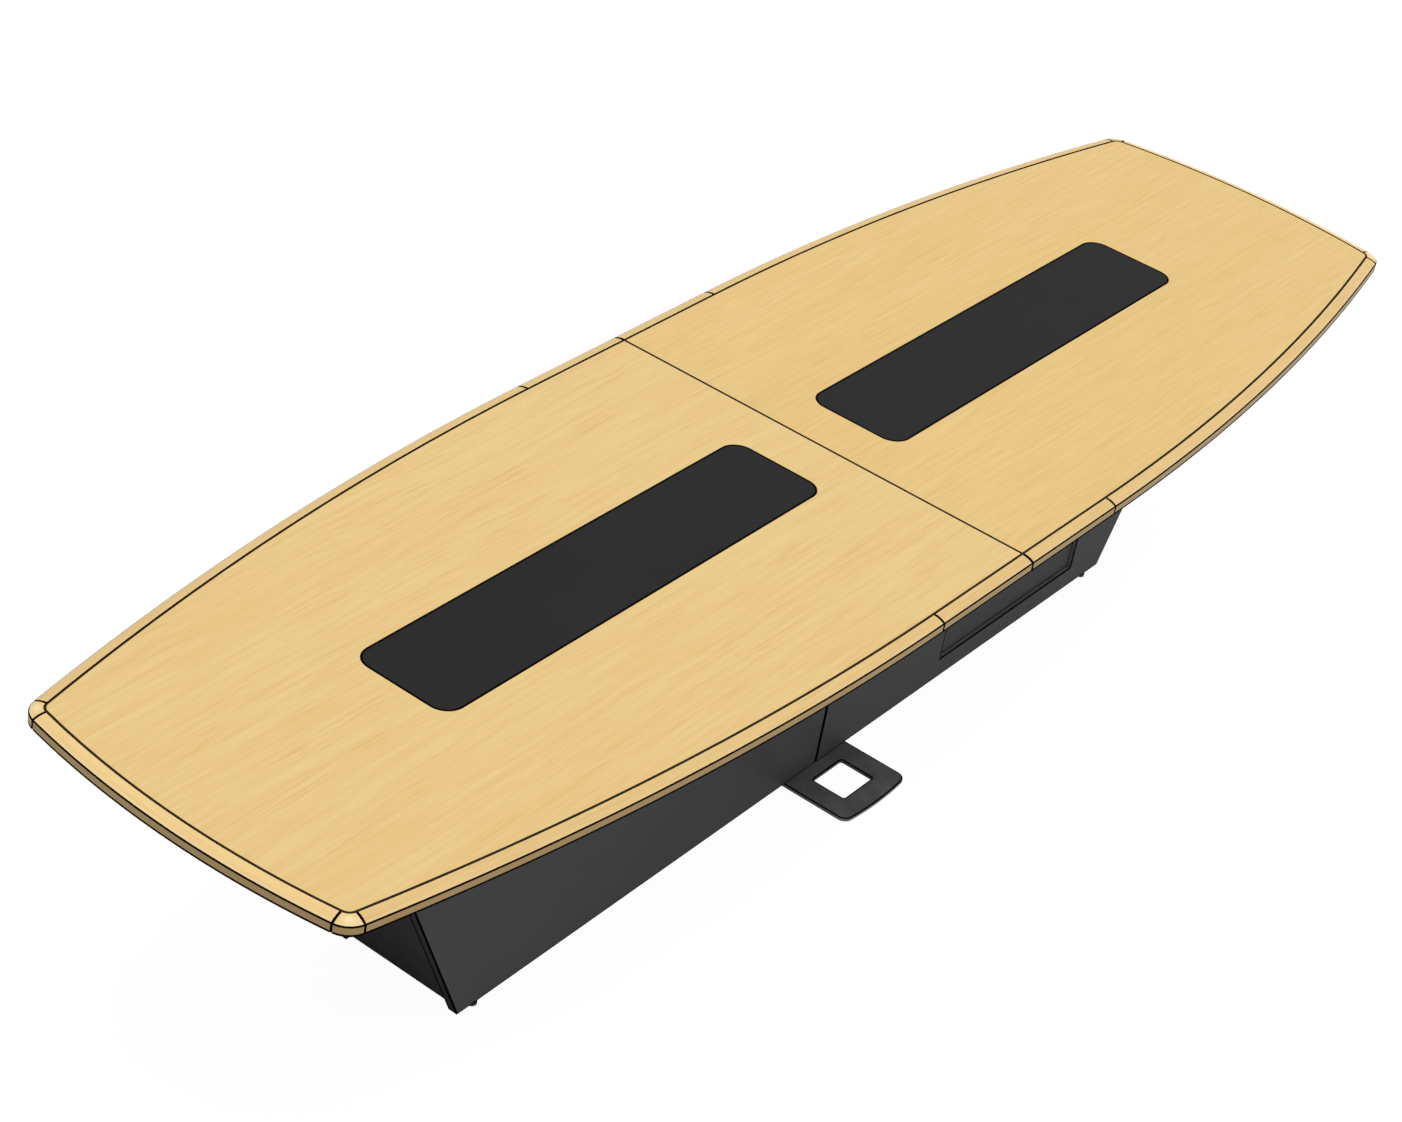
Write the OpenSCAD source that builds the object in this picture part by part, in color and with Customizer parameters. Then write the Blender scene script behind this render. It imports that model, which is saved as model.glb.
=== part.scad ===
// Boat-shaped conference table: a two-part edged top with two lift-out inset panels,
// carried by a long panel-built base with sloping ends, a foot plate and levelling glides.
// X runs along the length (near end negative), the access panel faces -Y, Z is up.
// The origin is on the floor, under the middle of the top.

/* [Top] */
// Overall length of the top, over the bowed ends
top_length = 3600; // [3400:10:3800]
// Overall width of the top across its straight middle
top_width = 1060; // [1000:5:1150]
// Height of the top surface above the floor
top_height = 740; // [700:1:780]
// Thickness of the top
top_thickness = 28; // [25:1:34]
// Radius of the long bowed sides
side_radius = 6850; // [6400:50:7800]
// Radius of the bowed ends
end_radius = 1900; // [1700:10:2400]
// Radius of the four corners, over the edging
corner_radius = 48; // [42:1:70]
// Length of the straight middle of each long side
straight_length = 620; // [540:10:760]

/* [Edging] */
// Width of the solid wood edging seen from above
edge_width = 26; // [20:1:32]
// How far the rounded top of the edging falls to its outer arris
edge_drop = 8; // [6:0.5:12]
// Thickness of the glue line between the top panels and their edging
edge_glue = 0.1; // [0.05:0.01:0.2]
// Width of the shadow grooves at the joints of the top and of the side panels
groove_width = 4; // [2:0.1:5]
// Depth of the shadow grooves
groove_depth = 1.5; // [1:0.1:2.5]

/* [Inset panels] */
// Length of each black inset panel
inset_length = 1115; // [1000:1:1180]
// Width of each inset panel
inset_width = 226; // [200:1:228]
// Thickness of an inset panel, level with the top surface
inset_thickness = 12; // [8:0.5:16]
// Radius of the corners of an inset panel
inset_corner = 40; // [30:1:60]
// Distance from the centre seam to an inset panel
inset_offset = 126; // [115:1:160]
// Gap all round an inset panel
inset_gap = 1.5; // [0.5:0.1:2]
// Width of the ledge that an inset panel lies on
ledge_width = 20; // [17:1:26]

/* [Base] */
// Width over the two side panels
base_width = 304; // [298:2:340]
// Length of a side panel pair along the bottom
base_bottom_length = 2286; // [2200:2:2380]
// Length of a side panel pair along the top
base_top_length = 2960; // [2860:2:3040]
// Thickness of the side panels
side_thickness = 22; // [18:1:25]
// Thickness of the end panels
end_thickness = 18; // [16:1:22]
// How far an end panel lies inside the sloping edges of the side panels
end_recess = 6; // [3:1:14]
// Height of an end panel's bottom edge above that of the side panels
end_raise = 22; // [8:1:30]
// Gap between the floor and the bottom of the side panels
base_clearance = 12; // [11:0.5:18]
// Thickness of the two bulkheads that meet at the base seam
bulkhead_thickness = 18; // [16:1:25]
// Height of the cable passage through the bulkheads
passage_height = 260; // [180:5:320]
// Width of the cable passage
passage_width = 120; // [80:5:150]
// Radius of the corners of the cable passage
passage_corner = 30; // [10:1:50]
// Width of the cleats under the top
cleat_width = 34; // [28:1:37]
// Height of the cleats
cleat_height = 30; // [26:1:40]
// Height of the bottom stretchers
stretcher_height = 80; // [60:1:120]
// Thickness of the bottom stretchers
stretcher_thickness = 18; // [16:1:25]
// Distance from the base seam to the middle of a stretcher
stretcher_place = 380; // [330:5:400]

/* [Access panel] */
// Distance from the base seam to the access opening
access_place = 457; // [440:1:490]
// Length of the access opening
access_length = 546; // [500:1:580]
// Height of the opening's sill above the bottom of the side panel
access_sill = 53; // [45:1:80]
// Height of side panel left above the opening
access_head = 110; // [95:1:160]
// Thickness of the access panel, level with the inner face of the side panel
access_thickness = 14; // [10:0.5:18]
// Gap round the access panel
access_gap = 2.5; // [1:0.1:3]
// How far the stop frame laps behind the access panel
stop_lap = 18; // [16:1:24]
// How far the stop frame laps onto the side panel
stop_land = 25; // [18:1:32]
// Thickness of the stop frame
stop_thickness = 18; // [15:1:22]

/* [Foot plate] */
// Width of the foot plate, along the table
plate_width = 222; // [200:2:260]
// How far the foot plate reaches beyond each side panel
plate_reach = 167; // [155:1:200]
// Thickness of the foot plate
plate_thickness = 8; // [6:0.5:8]
// Radius of the foot plate's corners
plate_corner = 22; // [16:1:30]
// Radius of the slightly bowed outer edges of the foot plate
plate_bow_radius = 900; // [700:10:2000]
// Size of the hole in each foot, along the table
plate_hole_length = 104; // [80:1:120]
// Size of the hole in each foot, across the table
plate_hole_width = 82; // [70:1:95]
// Radius of the corners of the hole
plate_hole_corner = 6; // [3:0.5:12]
// Distance from a side panel to the hole
plate_hole_place = 32; // [24:1:45]
// Radius of the pads under the foot plate
pad_radius = 11; // [8:0.5:14]

/* [Levelling glides] */
// Distance from a lower corner of a side panel to its glide
glide_place = 55; // [48:1:90]
// Radius of a glide's foot
glide_radius = 11; // [9:0.5:12]
// Height of a glide's foot, below its hexagon
glide_foot = 7; // [5:0.5:9]
// Radius of a glide's stem
stem_radius = 5; // [4:0.5:5.5]
// Length of a glide's stem inside its threaded sleeve at rest
stem_length = 34; // [30:1:40]
// Running gap round a stem
stem_gap = 0.05; // [0.02:0.01:0.1]
// Wall of the threaded sleeve round a stem
sleeve_wall = 2; // [1.5:0.1:2.5]
// Length of the threaded sleeve
sleeve_length = 25; // [20:1:28]

/* [Fixings] */
// Distance from the outline of the top to the last dowel of the centre seam
seam_margin = 106; // [70:1:140]
// Radius of the dowels across the centre seam
dowel_radius = 5; // [4:0.5:6]
// Length of the dowels
dowel_length = 60; // [50:1:80]
// Radius of the pockets for the seam bolts
pocket_radius = 17.5; // [16:0.5:20]
// Depth of the pockets under the top
pocket_depth = 20; // [18:0.5:22]
// Distance from the seam to the middle of a pocket
pocket_place = 60; // [52:1:64]
// Radius of the seam bolts
seam_bolt_radius = 3; // [2.5:0.1:4]
// Height of the half-round washers of the seam bolts
washer_height = 14; // [10:0.5:15]
// Radius of the bolts through the bulkheads
base_bolt_radius = 4; // [3:0.5:5]
// Height of the heads and nuts of the bulkhead bolts
base_bolt_head = 5.5; // [4:0.5:7]
// Radius of the wood screws
screw_radius = 2.5; // [2:0.1:3]
// How far the screws of the cleats enter the top
screw_reach = 18; // [12:1:22]
// Distance from the inner face of a side panel to its row of cleat screws
cleat_screw_place = 11; // [9:0.5:12]
// Depth of the counterbores of the cleat screws
cleat_sink = 12; // [8:1:16]
// How far the screws of the foot plate enter the bulkheads
plate_screw_reach = 40; // [30:1:50]
// Distance of a plate screw from the middle of the table
plate_screw_place = 91; // [80:1:105]
// Radius of the catch magnets in the stop frame
magnet_radius = 5; // [4:0.5:7]
// Depth of a catch magnet
magnet_depth = 8; // [5:0.5:12]
// Distance of a catch from the sill and from the head of the access opening
catch_place = 80; // [40:1:120]
// How far a catch plate reaches past its magnet
catch_lip = 1; // [0.5:0.1:2]
// Thickness of a catch plate, sunk into the access panel
catch_plate_depth = 2; // [1:0.5:3]
// Gap round a fixing in its hole
fixing_gap = 0.1; // [0.05:0.01:0.2]

/* [Hidden] */
$fn = 128;

near = -1;
far = 1;
front = -1;
back = 1;
// Overshoot of a cut past the face that it leaves
over = 1;
// A rounding is let out by this much, so that it crosses the arcs that it joins
crossing = 0.02;

light_wood = [0.91, 0.79, 0.54];
wood_edge = [0.87, 0.73, 0.47];
black_inset = [0.19, 0.19, 0.19];
charcoal = [0.23, 0.23, 0.23];
dark_end = [0.14, 0.14, 0.14];
bare_wood = [0.76, 0.66, 0.5];
steel = [0.62, 0.62, 0.64];

underside = top_height - top_thickness;
half_length = top_length / 2;
half_width = top_width / 2;
half_straight = straight_length / 2;
// The curved top of the edging leaves the flat level and reaches the arris after edge_drop
edge_round = (edge_width * edge_width + edge_drop * edge_drop) / (2 * edge_drop);

// What the edging and its glue line take off the outline of the top
edging = edge_width + edge_glue;

// Centres of the side and end arcs of the far quarter on the back side
side_centre = [half_straight, half_width - side_radius];
end_centre = [half_length - end_radius, 0];
// The corner's centre keeps its radius from both arcs
corner_centre = circles_meet(side_centre, side_radius - corner_radius,
    end_centre, end_radius - corner_radius);
side_angle = direction(side_centre, corner_centre);
end_angle = direction(end_centre, corner_centre);

base_half = base_width / 2;
inner_half = base_half - side_thickness;
side_height = underside - base_clearance;
end_slope = (base_top_length - base_bottom_length) / 2 / side_height;
end_depth = end_thickness * sqrt(1 + end_slope * end_slope);

access_bottom = base_clearance + access_sill;
access_height = underside - access_head - access_bottom;

plate_half = base_half + plate_reach;
pad_height = base_clearance - plate_thickness;
glide_x = base_bottom_length / 2 - glide_place;
glide_y = base_half - side_thickness / 2;
bulkhead_middle = (underside + base_clearance) / 2;

// Dowels and bolts share the seam in even steps, the last dowels at its two ends
seam_steps = 4;
seam_pitch = (half_width - seam_margin) / seam_steps;
dowel_rows = [-seam_steps, -2, 2, seam_steps];
seam_bolt_rows = [-3, 0, 3];
// Places of the cleat screws along a cleat, from the bulkhead to the sloping end
screw_places = [0.1, 0.5, 0.9];

// Direction from one point to another, in degrees
function direction(a, b) = atan2(b.y - a.y, b.x - a.x);

// Where two circles meet, on the side that lies further along +X
function circles_meet(a, ra, b, rb) =
    let (d = norm(b - a), u = (b - a) / d, t = (ra * ra - rb * rb + d * d) / (2 * d))
    a + t * u + sqrt(ra * ra - t * t) * [u.y, -u.x];

// Half length of the side panels at a height above the floor
function slope_x(z) = base_bottom_length / 2 + (z - base_clearance) * end_slope;

// Inner face of an end panel at a height above the floor
function end_inner_x(z) = slope_x(z) - end_recess - end_depth;

// Turns a piece made for the far end and the back side to another end and side
module quarter(end, side) {
    mirror([end == near ? 1 : 0, 0, 0])
        mirror([0, side == front ? 1 : 0, 0])
            children();
}

// Upright plate from an outline in X and Z, with its middle at y
module upright(y, thickness) {
    translate([0, y + thickness / 2, 0])
        rotate([90, 0, 0])
            linear_extrude(thickness) children();
}

// Rectangle with rounded corners, centred
module rounded_rectangle(x, y, r) {
    square([x - 2 * r, y], center = true);
    square([x, y - 2 * r], center = true);
    for (i = [-1, 1], j = [-1, 1])
        translate([i * (x / 2 - r), j * (y / 2 - r)]) circle(r);
}

// Half of a side panel's outline in X and Z
module side_outline() {
    polygon([[0, base_clearance], [slope_x(base_clearance), base_clearance],
        [slope_x(underside), underside], [0, underside]]);
}

// What rounding a corner of the plan takes away, between its two tangent directions
module corner_waste(margin) {
    wedge = 3 * corner_radius;
    translate(corner_centre) difference() {
        polygon([[0, 0], wedge * [cos(side_angle), sin(side_angle)],
            wedge * [cos(side_angle) + cos(end_angle), sin(side_angle) + sin(end_angle)],
            wedge * [cos(end_angle), sin(end_angle)]]);
        circle(corner_radius - margin + crossing);
    }
}

// Plan of one half of the top, at the far end, drawn in by a margin from its outline and from the seam
module panel_plan(margin, seam) {
    inner = half_width - margin;
    translate([seam, -inner]) square([half_straight - seam, 2 * inner]);
    difference() {
        intersection() {
            translate([seam, -half_width]) square([half_length - seam, top_width]);
            intersection_for(j = [-1, 1])
                translate([side_centre.x, j * side_centre.y]) circle(side_radius - margin, $fn = 256);
            translate(end_centre) circle(end_radius - margin, $fn = 256);
        }
        for (j = [0, 1])
            mirror([0, j]) corner_waste(margin);
    }
}

// Section of the edging: flat level at the panel, a rounded fall, a square underside.
// The sunk section is what a shadow groove leaves of it.
module edge_section(sunk) {
    intersection() {
        translate([0, -top_thickness]) square([edge_width - sunk, top_thickness]);
        translate([0, -edge_round]) circle(edge_round - sunk);
    }
}

// Slab across the section of the edging, half of a shadow groove on each side of a joint
module joint_slab() {
    rotate([90, 0, 0])
        linear_extrude(groove_width, center = true)
            translate([-over, -top_thickness - over])
                square([edge_width + 2 * over, top_thickness + 2 * over]);
}

// Edging turned about a centre, from one direction to another
module edge_arc(centre, radius, from, to) {
    color(wood_edge) translate([centre.x, centre.y, top_height]) difference() {
        edge_turn(radius, from, to, 0);
        difference() {
            for (angle = [from, to])
                rotate([0, 0, angle]) translate([radius - edge_width, 0, 0]) joint_slab();
            edge_turn(radius, from, to, groove_depth);
        }
    }
}

module edge_turn(radius, from, to, sunk) {
    rotate([0, 0, from])
        rotate_extrude(angle = to - from, $fn = 256)
            translate([radius - edge_width, 0]) edge_section(sunk);
}

module edge_straight(end, side) {
    color(wood_edge) quarter(end, side)
        translate([0, half_width - edge_width, top_height]) difference() {
            edge_run(0);
            difference() {
                for (x = [0, half_straight])
                    translate([x, 0, 0]) rotate([0, 0, 90]) joint_slab();
                edge_run(groove_depth);
            }
        }
}

module edge_run(sunk) {
    rotate([90, 0, 90]) linear_extrude(half_straight) edge_section(sunk);
}

module edge_bow(end, side) {
    quarter(end, side) edge_arc(side_centre, side_radius, side_angle, 90);
}

module edge_corner(end, side) {
    quarter(end, side) edge_arc(corner_centre, corner_radius, end_angle, side_angle);
}

module edge_end(end) {
    quarter(end, back) edge_arc(end_centre, end_radius, -end_angle, end_angle);
}

// Middle of an inset panel, at the far end
module at_inset() {
    translate([inset_offset + inset_length / 2, 0, 0]) children();
}

module top_panel(end) {
    color(light_wood) quarter(end, back) difference() {
        union() {
            translate([0, 0, underside])
                linear_extrude(top_thickness - groove_depth) panel_plan(edging, 0);
            translate([0, 0, top_height - groove_depth])
                linear_extrude(groove_depth) panel_plan(edging + groove_width, groove_width / 2);
        }
        at_inset() {
            translate([0, 0, top_height - inset_thickness])
                linear_extrude(inset_thickness + over)
                    rounded_rectangle(inset_length + 2 * inset_gap, inset_width + 2 * inset_gap,
                        inset_corner + inset_gap);
            translate([0, 0, underside - over])
                linear_extrude(top_thickness)
                    rounded_rectangle(inset_length - 2 * ledge_width, inset_width - 2 * ledge_width,
                        inset_corner - ledge_width / 2);
        }
        seam_dowel_rods(fixing_gap, over);
        seam_pockets();
        for (side = [front, back])
            mirror([0, side == front ? 1 : 0, 0]) cleat_screw_shanks(fixing_gap);
    }
}

module inset_panel(end) {
    color(black_inset) quarter(end, back) at_inset()
        translate([0, 0, top_height - inset_thickness])
            linear_extrude(inset_thickness) rounded_rectangle(inset_length, inset_width, inset_corner);
}

// Dowels that line up the two top panels; the gap and the reach turn them into their holes
module seam_dowel_rods(gap, reach) {
    for (row = dowel_rows)
        translate([0, row * seam_pitch, (top_height + underside) / 2])
            rotate([0, 90, 0])
                cylinder(r = dowel_radius + gap, h = dowel_length + 2 * reach, center = true);
}

module seam_dowels() {
    color(bare_wood) seam_dowel_rods(0, 0);
}

// Pockets and slots in the underside for the bolts that draw the seam shut
module seam_pockets() {
    for (row = seam_bolt_rows)
        translate([0, row * seam_pitch, underside - over]) {
            translate([pocket_place, 0, 0]) cylinder(r = pocket_radius, h = pocket_depth + over);
            slot = seam_bolt_radius + fixing_gap;
            translate([-pocket_place, -slot, 0])
                cube([2 * pocket_place, 2 * slot, pocket_depth / 2 + slot + over]);
        }
}

// A seam bolt bears on a half-round washer in each pocket
module seam_bolt() {
    washer = pocket_radius - fixing_gap;
    nut_length = 2 * seam_bolt_radius;
    bearing = pocket_place - seam_bolt_radius;
    rotate([0, 90, 0])
        cylinder(r = seam_bolt_radius, h = 2 * (bearing + nut_length), center = true);
    for (i = [0, 1])
        mirror([i, 0, 0]) {
            intersection() {
                translate([pocket_place, 0, -washer_height / 2]) cylinder(r = washer, h = washer_height);
                translate([0, -washer, -washer_height / 2]) cube([bearing, 2 * washer, washer_height]);
            }
            translate([bearing, 0, 0]) rotate([0, 90, 0])
                cylinder(r = 2 * seam_bolt_radius, h = nut_length, $fn = 6);
        }
}

module seam_bolts() {
    color(steel) for (row = seam_bolt_rows)
        translate([0, row * seam_pitch, underside + pocket_depth / 2]) seam_bolt();
}

// Outline of the access opening in X and Z, larger all round by a margin
module access_outline(margin) {
    translate([access_place - margin, access_bottom - margin])
        square([access_length + 2 * margin, access_height + 2 * margin]);
}

module side_panel(end, side) {
    opened = end == far && side == front;
    color(charcoal) quarter(end, side) difference() {
        upright(base_half - side_thickness / 2, side_thickness)
            difference() {
                side_outline();
                if (opened) access_outline(0);
            }
        translate([glide_x, glide_y, base_clearance - over])
            cylinder(r = stem_radius + sleeve_wall + fixing_gap, h = stem_length + 2 * over);
        translate([-over, base_half - groove_depth, base_clearance - over])
            cube([groove_width / 2 + over, groove_depth + over, side_height + 2 * over]);
    }
}

module end_panel(end) {
    bottom = base_clearance + end_raise;
    color(dark_end) quarter(end, back)
        upright(0, 2 * inner_half)
            polygon([[end_inner_x(bottom), bottom], [end_inner_x(bottom) + end_depth, bottom],
                [end_inner_x(underside) + end_depth, underside], [end_inner_x(underside), underside]]);
}

// Bolts of the bulkheads sit in a rectangle round the cable passage
module at_base_bolts() {
    for (j = [-1, 1], k = [-1, 1])
        translate([0, j * (passage_width / 2 + inner_half) / 2, bulkhead_middle + k * passage_height / 2])
            rotate([0, 90, 0]) children();
}

// Screws that hold the foot plate to the lower edges of the bulkheads
module at_plate_screws(end) {
    for (j = [-1, 1])
        translate([end * bulkhead_thickness / 2, j * plate_screw_place, 0]) children();
}

module bulkhead(end) {
    color(charcoal) difference() {
        quarter(end, back) difference() {
            translate([0, -inner_half, base_clearance])
                cube([bulkhead_thickness, 2 * inner_half, side_height]);
            translate([0, 0, bulkhead_middle]) rotate([90, 0, 90])
                translate([0, 0, -over])
                    linear_extrude(bulkhead_thickness + 2 * over)
                        rounded_rectangle(passage_width, passage_height, passage_corner);
        }
        at_base_bolts()
            cylinder(r = base_bolt_radius + fixing_gap, h = 2 * bulkhead_thickness + 2 * over, center = true);
        at_plate_screws(end) translate([0, 0, base_clearance - over])
            cylinder(r = screw_radius + fixing_gap, h = plate_screw_reach + 2 * over);
    }
}

// Long cleat under the top, along the inner face of a side panel
module cleat(end, side) {
    bottom = underside - cleat_height;
    color(bare_wood) quarter(end, side) difference() {
        upright(inner_half - cleat_width / 2, cleat_width)
            polygon([[bulkhead_thickness, bottom], [end_inner_x(bottom), bottom],
                [end_inner_x(underside), underside], [bulkhead_thickness, underside]]);
        cleat_screw_shanks(fixing_gap);
        at_cleat_screws() translate([0, 0, bottom - over])
            cylinder(r = 2 * screw_radius + fixing_gap, h = cleat_sink + over);
    }
}

module end_cleat(end) {
    bottom = underside - cleat_height;
    color(bare_wood) quarter(end, back)
        upright(0, 2 * (inner_half - cleat_width))
            polygon([[end_inner_x(bottom) - cleat_width, bottom], [end_inner_x(bottom), bottom],
                [end_inner_x(underside), underside], [end_inner_x(underside) - cleat_width, underside]]);
}

module at_cleat_screws() {
    length = end_inner_x(underside - cleat_height) - bulkhead_thickness;
    for (place = screw_places)
        translate([bulkhead_thickness + place * length, inner_half - cleat_screw_place, 0]) children();
}

// Shanks of the cleat screws; the gap turns them into their holes
module cleat_screw_shanks(gap) {
    at_cleat_screws() translate([0, 0, underside - cleat_height + cleat_sink - gap])
        cylinder(r = screw_radius + gap, h = cleat_height - cleat_sink + screw_reach + 2 * gap);
}

module cleat_screws() {
    head = 2 * screw_radius;
    color(steel) for (end = [near, far], side = [front, back])
        quarter(end, side) {
            cleat_screw_shanks(0);
            at_cleat_screws() translate([0, 0, underside - cleat_height + cleat_sink - screw_radius])
                cylinder(r = head, h = screw_radius);
        }
}

module stretcher(end) {
    color(charcoal) quarter(end, back)
        translate([stretcher_place - stretcher_thickness / 2, -inner_half, base_clearance])
            cube([stretcher_thickness, 2 * inner_half, stretcher_height]);
}

// Two catches on each upright of the stop frame, in the middle of the band that laps
module at_catches() {
    for (x = [access_place + stop_lap / 2, access_place + access_length - stop_lap / 2],
        z = [access_bottom + catch_place, access_bottom + access_height - catch_place])
        translate([x, 0, z]) children();
}

module access_panel() {
    color(charcoal) difference() {
        upright(-inner_half - access_thickness / 2, access_thickness) access_outline(-access_gap);
        at_catches() translate([0, -inner_half + over, 0]) rotate([90, 0, 0])
            cylinder(r = magnet_radius + catch_lip + fixing_gap, h = catch_plate_depth + over);
    }
}

module catch_plates() {
    color(steel) at_catches() translate([0, -inner_half, 0]) rotate([90, 0, 0])
        cylinder(r = magnet_radius + catch_lip, h = catch_plate_depth);
}

module stop_frame() {
    color(charcoal) difference() {
        upright(-inner_half + stop_thickness / 2, stop_thickness)
            difference() {
                access_outline(stop_land);
                access_outline(-stop_lap);
            }
        at_catches() translate([0, -inner_half + magnet_depth, 0]) rotate([90, 0, 0])
            cylinder(r = magnet_radius + fixing_gap, h = magnet_depth + over);
    }
}

module catch_magnets() {
    color(steel) at_catches() translate([0, -inner_half + magnet_depth, 0]) rotate([90, 0, 0])
        cylinder(r = magnet_radius, h = magnet_depth);
}

// Plan of the foot plate: straight sides, bowed outer edges, rounded corners
module plate_plan() {
    bow_centre = plate_half - plate_bow_radius;
    corner = circle_and_line(bow_centre, plate_bow_radius - plate_corner, plate_width / 2 - plate_corner);
    square([plate_width, 2 * corner.y], center = true);
    intersection() {
        square([plate_width - 2 * plate_corner, 2 * plate_half], center = true);
        for (j = [-1, 1]) translate([0, j * bow_centre]) circle(plate_bow_radius, $fn = 256);
    }
    for (i = [-1, 1], j = [-1, 1])
        translate([i * corner.x, j * corner.y]) circle(plate_corner);
}

// Point on a circle about [0, y] at the given x, on the +Y side
function circle_and_line(y, r, x) = [x, y + sqrt(r * r - x * x)];

module foot_plate() {
    color(charcoal) difference() {
        translate([0, 0, pad_height]) linear_extrude(plate_thickness)
            difference() {
                plate_plan();
                for (j = [-1, 1])
                    translate([0, j * (base_half + plate_hole_place + plate_hole_width / 2)])
                        rounded_rectangle(plate_hole_length, plate_hole_width, plate_hole_corner);
            }
        for (end = [near, far])
            at_plate_screws(end) {
                translate([0, 0, pad_height - over])
                    cylinder(r = screw_radius + fixing_gap, h = plate_thickness + 2 * over);
                translate([0, 0, pad_height - over])
                    cylinder(r = 2 * screw_radius + fixing_gap, h = screw_radius + over);
            }
    }
}

module plate_screws() {
    color(steel) for (end = [near, far])
        at_plate_screws(end) translate([0, 0, pad_height]) {
            cylinder(r = screw_radius, h = plate_thickness + plate_screw_reach);
            cylinder(r = 2 * screw_radius, h = screw_radius);
        }
}

module plate_pads() {
    x = plate_width / 2 - plate_corner;
    rows = [base_half - side_thickness / 2, plate_half - plate_corner];
    color(dark_end) for (i = [-1, 1], j = [-1, 1], y = rows)
        translate([i * x, j * y, 0]) cylinder(r = pad_radius, h = pad_height);
}

module base_bolts() {
    color(steel) at_base_bolts() {
        cylinder(r = base_bolt_radius, h = 2 * (bulkhead_thickness + base_bolt_head), center = true);
        for (i = [0, 1])
            mirror([0, 0, i]) translate([0, 0, bulkhead_thickness])
                cylinder(r = 2 * base_bolt_radius, h = base_bolt_head, $fn = 6);
    }
}

module glide_sleeves() {
    color(steel) for (end = [near, far], side = [front, back])
        quarter(end, side) translate([glide_x, glide_y, base_clearance]) difference() {
            cylinder(r = stem_radius + sleeve_wall, h = sleeve_length);
            translate([0, 0, -over])
                cylinder(r = stem_radius + stem_gap, h = sleeve_length + 2 * over);
        }
}

module glide(end, side) {
    color(dark_end) quarter(end, side) translate([glide_x, glide_y, 0]) {
        cylinder(r = glide_radius, h = glide_foot);
        cylinder(r = stem_radius + sleeve_wall, h = base_clearance, $fn = 6);
        cylinder(r = stem_radius, h = base_clearance + stem_length);
    }
}

top_panel(near);  // top_panel_near
top_panel(far);  // top_panel_far
edge_straight(near, front);  // edge_front_straight_near
edge_straight(far, front);  // edge_front_straight_far
edge_bow(near, front);  // edge_front_bow_near
edge_bow(far, front);  // edge_front_bow_far
edge_corner(near, front);  // edge_front_corner_near
edge_corner(far, front);  // edge_front_corner_far
edge_straight(near, back);  // edge_back_straight_near
edge_straight(far, back);  // edge_back_straight_far
edge_bow(near, back);  // edge_back_bow_near
edge_bow(far, back);  // edge_back_bow_far
edge_corner(near, back);  // edge_back_corner_near
edge_corner(far, back);  // edge_back_corner_far
edge_end(near);  // edge_end_near
edge_end(far);  // edge_end_far
inset_panel(near);  // inset_panel_near
inset_panel(far);  // inset_panel_far
seam_dowels();
seam_bolts();
side_panel(near, front);  // side_front_near
side_panel(far, front);  // side_front_far
side_panel(near, back);  // side_back_near
side_panel(far, back);  // side_back_far
end_panel(near);  // end_panel_near
end_panel(far);  // end_panel_far
bulkhead(near);  // bulkhead_near
bulkhead(far);  // bulkhead_far
cleat(near, front);  // cleat_front_near
cleat(far, front);  // cleat_front_far
cleat(near, back);  // cleat_back_near
cleat(far, back);  // cleat_back_far
end_cleat(near);  // end_cleat_near
end_cleat(far);  // end_cleat_far
stretcher(near);  // stretcher_near
stretcher(far);  // stretcher_far
access_panel();
stop_frame();
catch_magnets();
catch_plates();
foot_plate();
plate_pads();
plate_screws();
base_bolts();
cleat_screws();
glide_sleeves();
glide(near, front);  // glide_front_near
glide(far, front);  // glide_front_far
glide(near, back);  // glide_back_near
glide(far, back);  // glide_back_far
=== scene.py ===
import logging
import math
from collections.abc import Callable, Sequence
from dataclasses import dataclass, field
from enum import Enum, IntEnum
from functools import cached_property

import bpy
import numpy as np
from mathutils import Matrix, Vector
from mathutils.geometry import tessellate_polygon


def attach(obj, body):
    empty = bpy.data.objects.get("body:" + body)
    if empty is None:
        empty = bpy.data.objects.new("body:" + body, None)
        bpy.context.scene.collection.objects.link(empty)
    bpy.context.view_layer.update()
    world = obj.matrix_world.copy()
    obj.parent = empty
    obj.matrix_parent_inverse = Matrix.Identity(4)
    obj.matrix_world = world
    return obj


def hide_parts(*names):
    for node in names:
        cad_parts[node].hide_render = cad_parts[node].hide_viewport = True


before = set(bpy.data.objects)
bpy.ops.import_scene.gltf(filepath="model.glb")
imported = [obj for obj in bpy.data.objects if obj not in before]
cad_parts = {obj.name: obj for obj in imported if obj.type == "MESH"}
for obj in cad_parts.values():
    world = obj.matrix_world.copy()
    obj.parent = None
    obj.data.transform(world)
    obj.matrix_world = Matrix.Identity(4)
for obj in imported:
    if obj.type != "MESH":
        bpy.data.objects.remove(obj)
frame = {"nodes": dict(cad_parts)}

log = logging.getLogger("conference_table")

Colour = tuple[float, float, float]
Triple = tuple[float, float, float]
Array = np.ndarray
Path = Callable[[Array, Array, Array], Array]

WHITE = (1.0, 1.0, 1.0, 1.0)


# Names and sizes. Lengths are in metres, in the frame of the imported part.


class End(Enum):
    """The two ends of the table, with the sign of X that they lie on."""

    NEAR = -1
    FAR = 1


class Side(Enum):
    """The two long sides of the table, with the sign of Y that they lie on."""

    FRONT = -1
    BACK = 1


class Grain(Enum):
    """Where a wood pattern takes its run from."""

    ALONG_X = "object"
    ALONG_PIECE = "map"


class Face(IntEnum):
    """What a face of a new piece shows, which is the number of its finish on that piece."""

    PLAIN = 0
    LINED = 1
    EDGE = 2
    END = 3


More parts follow.
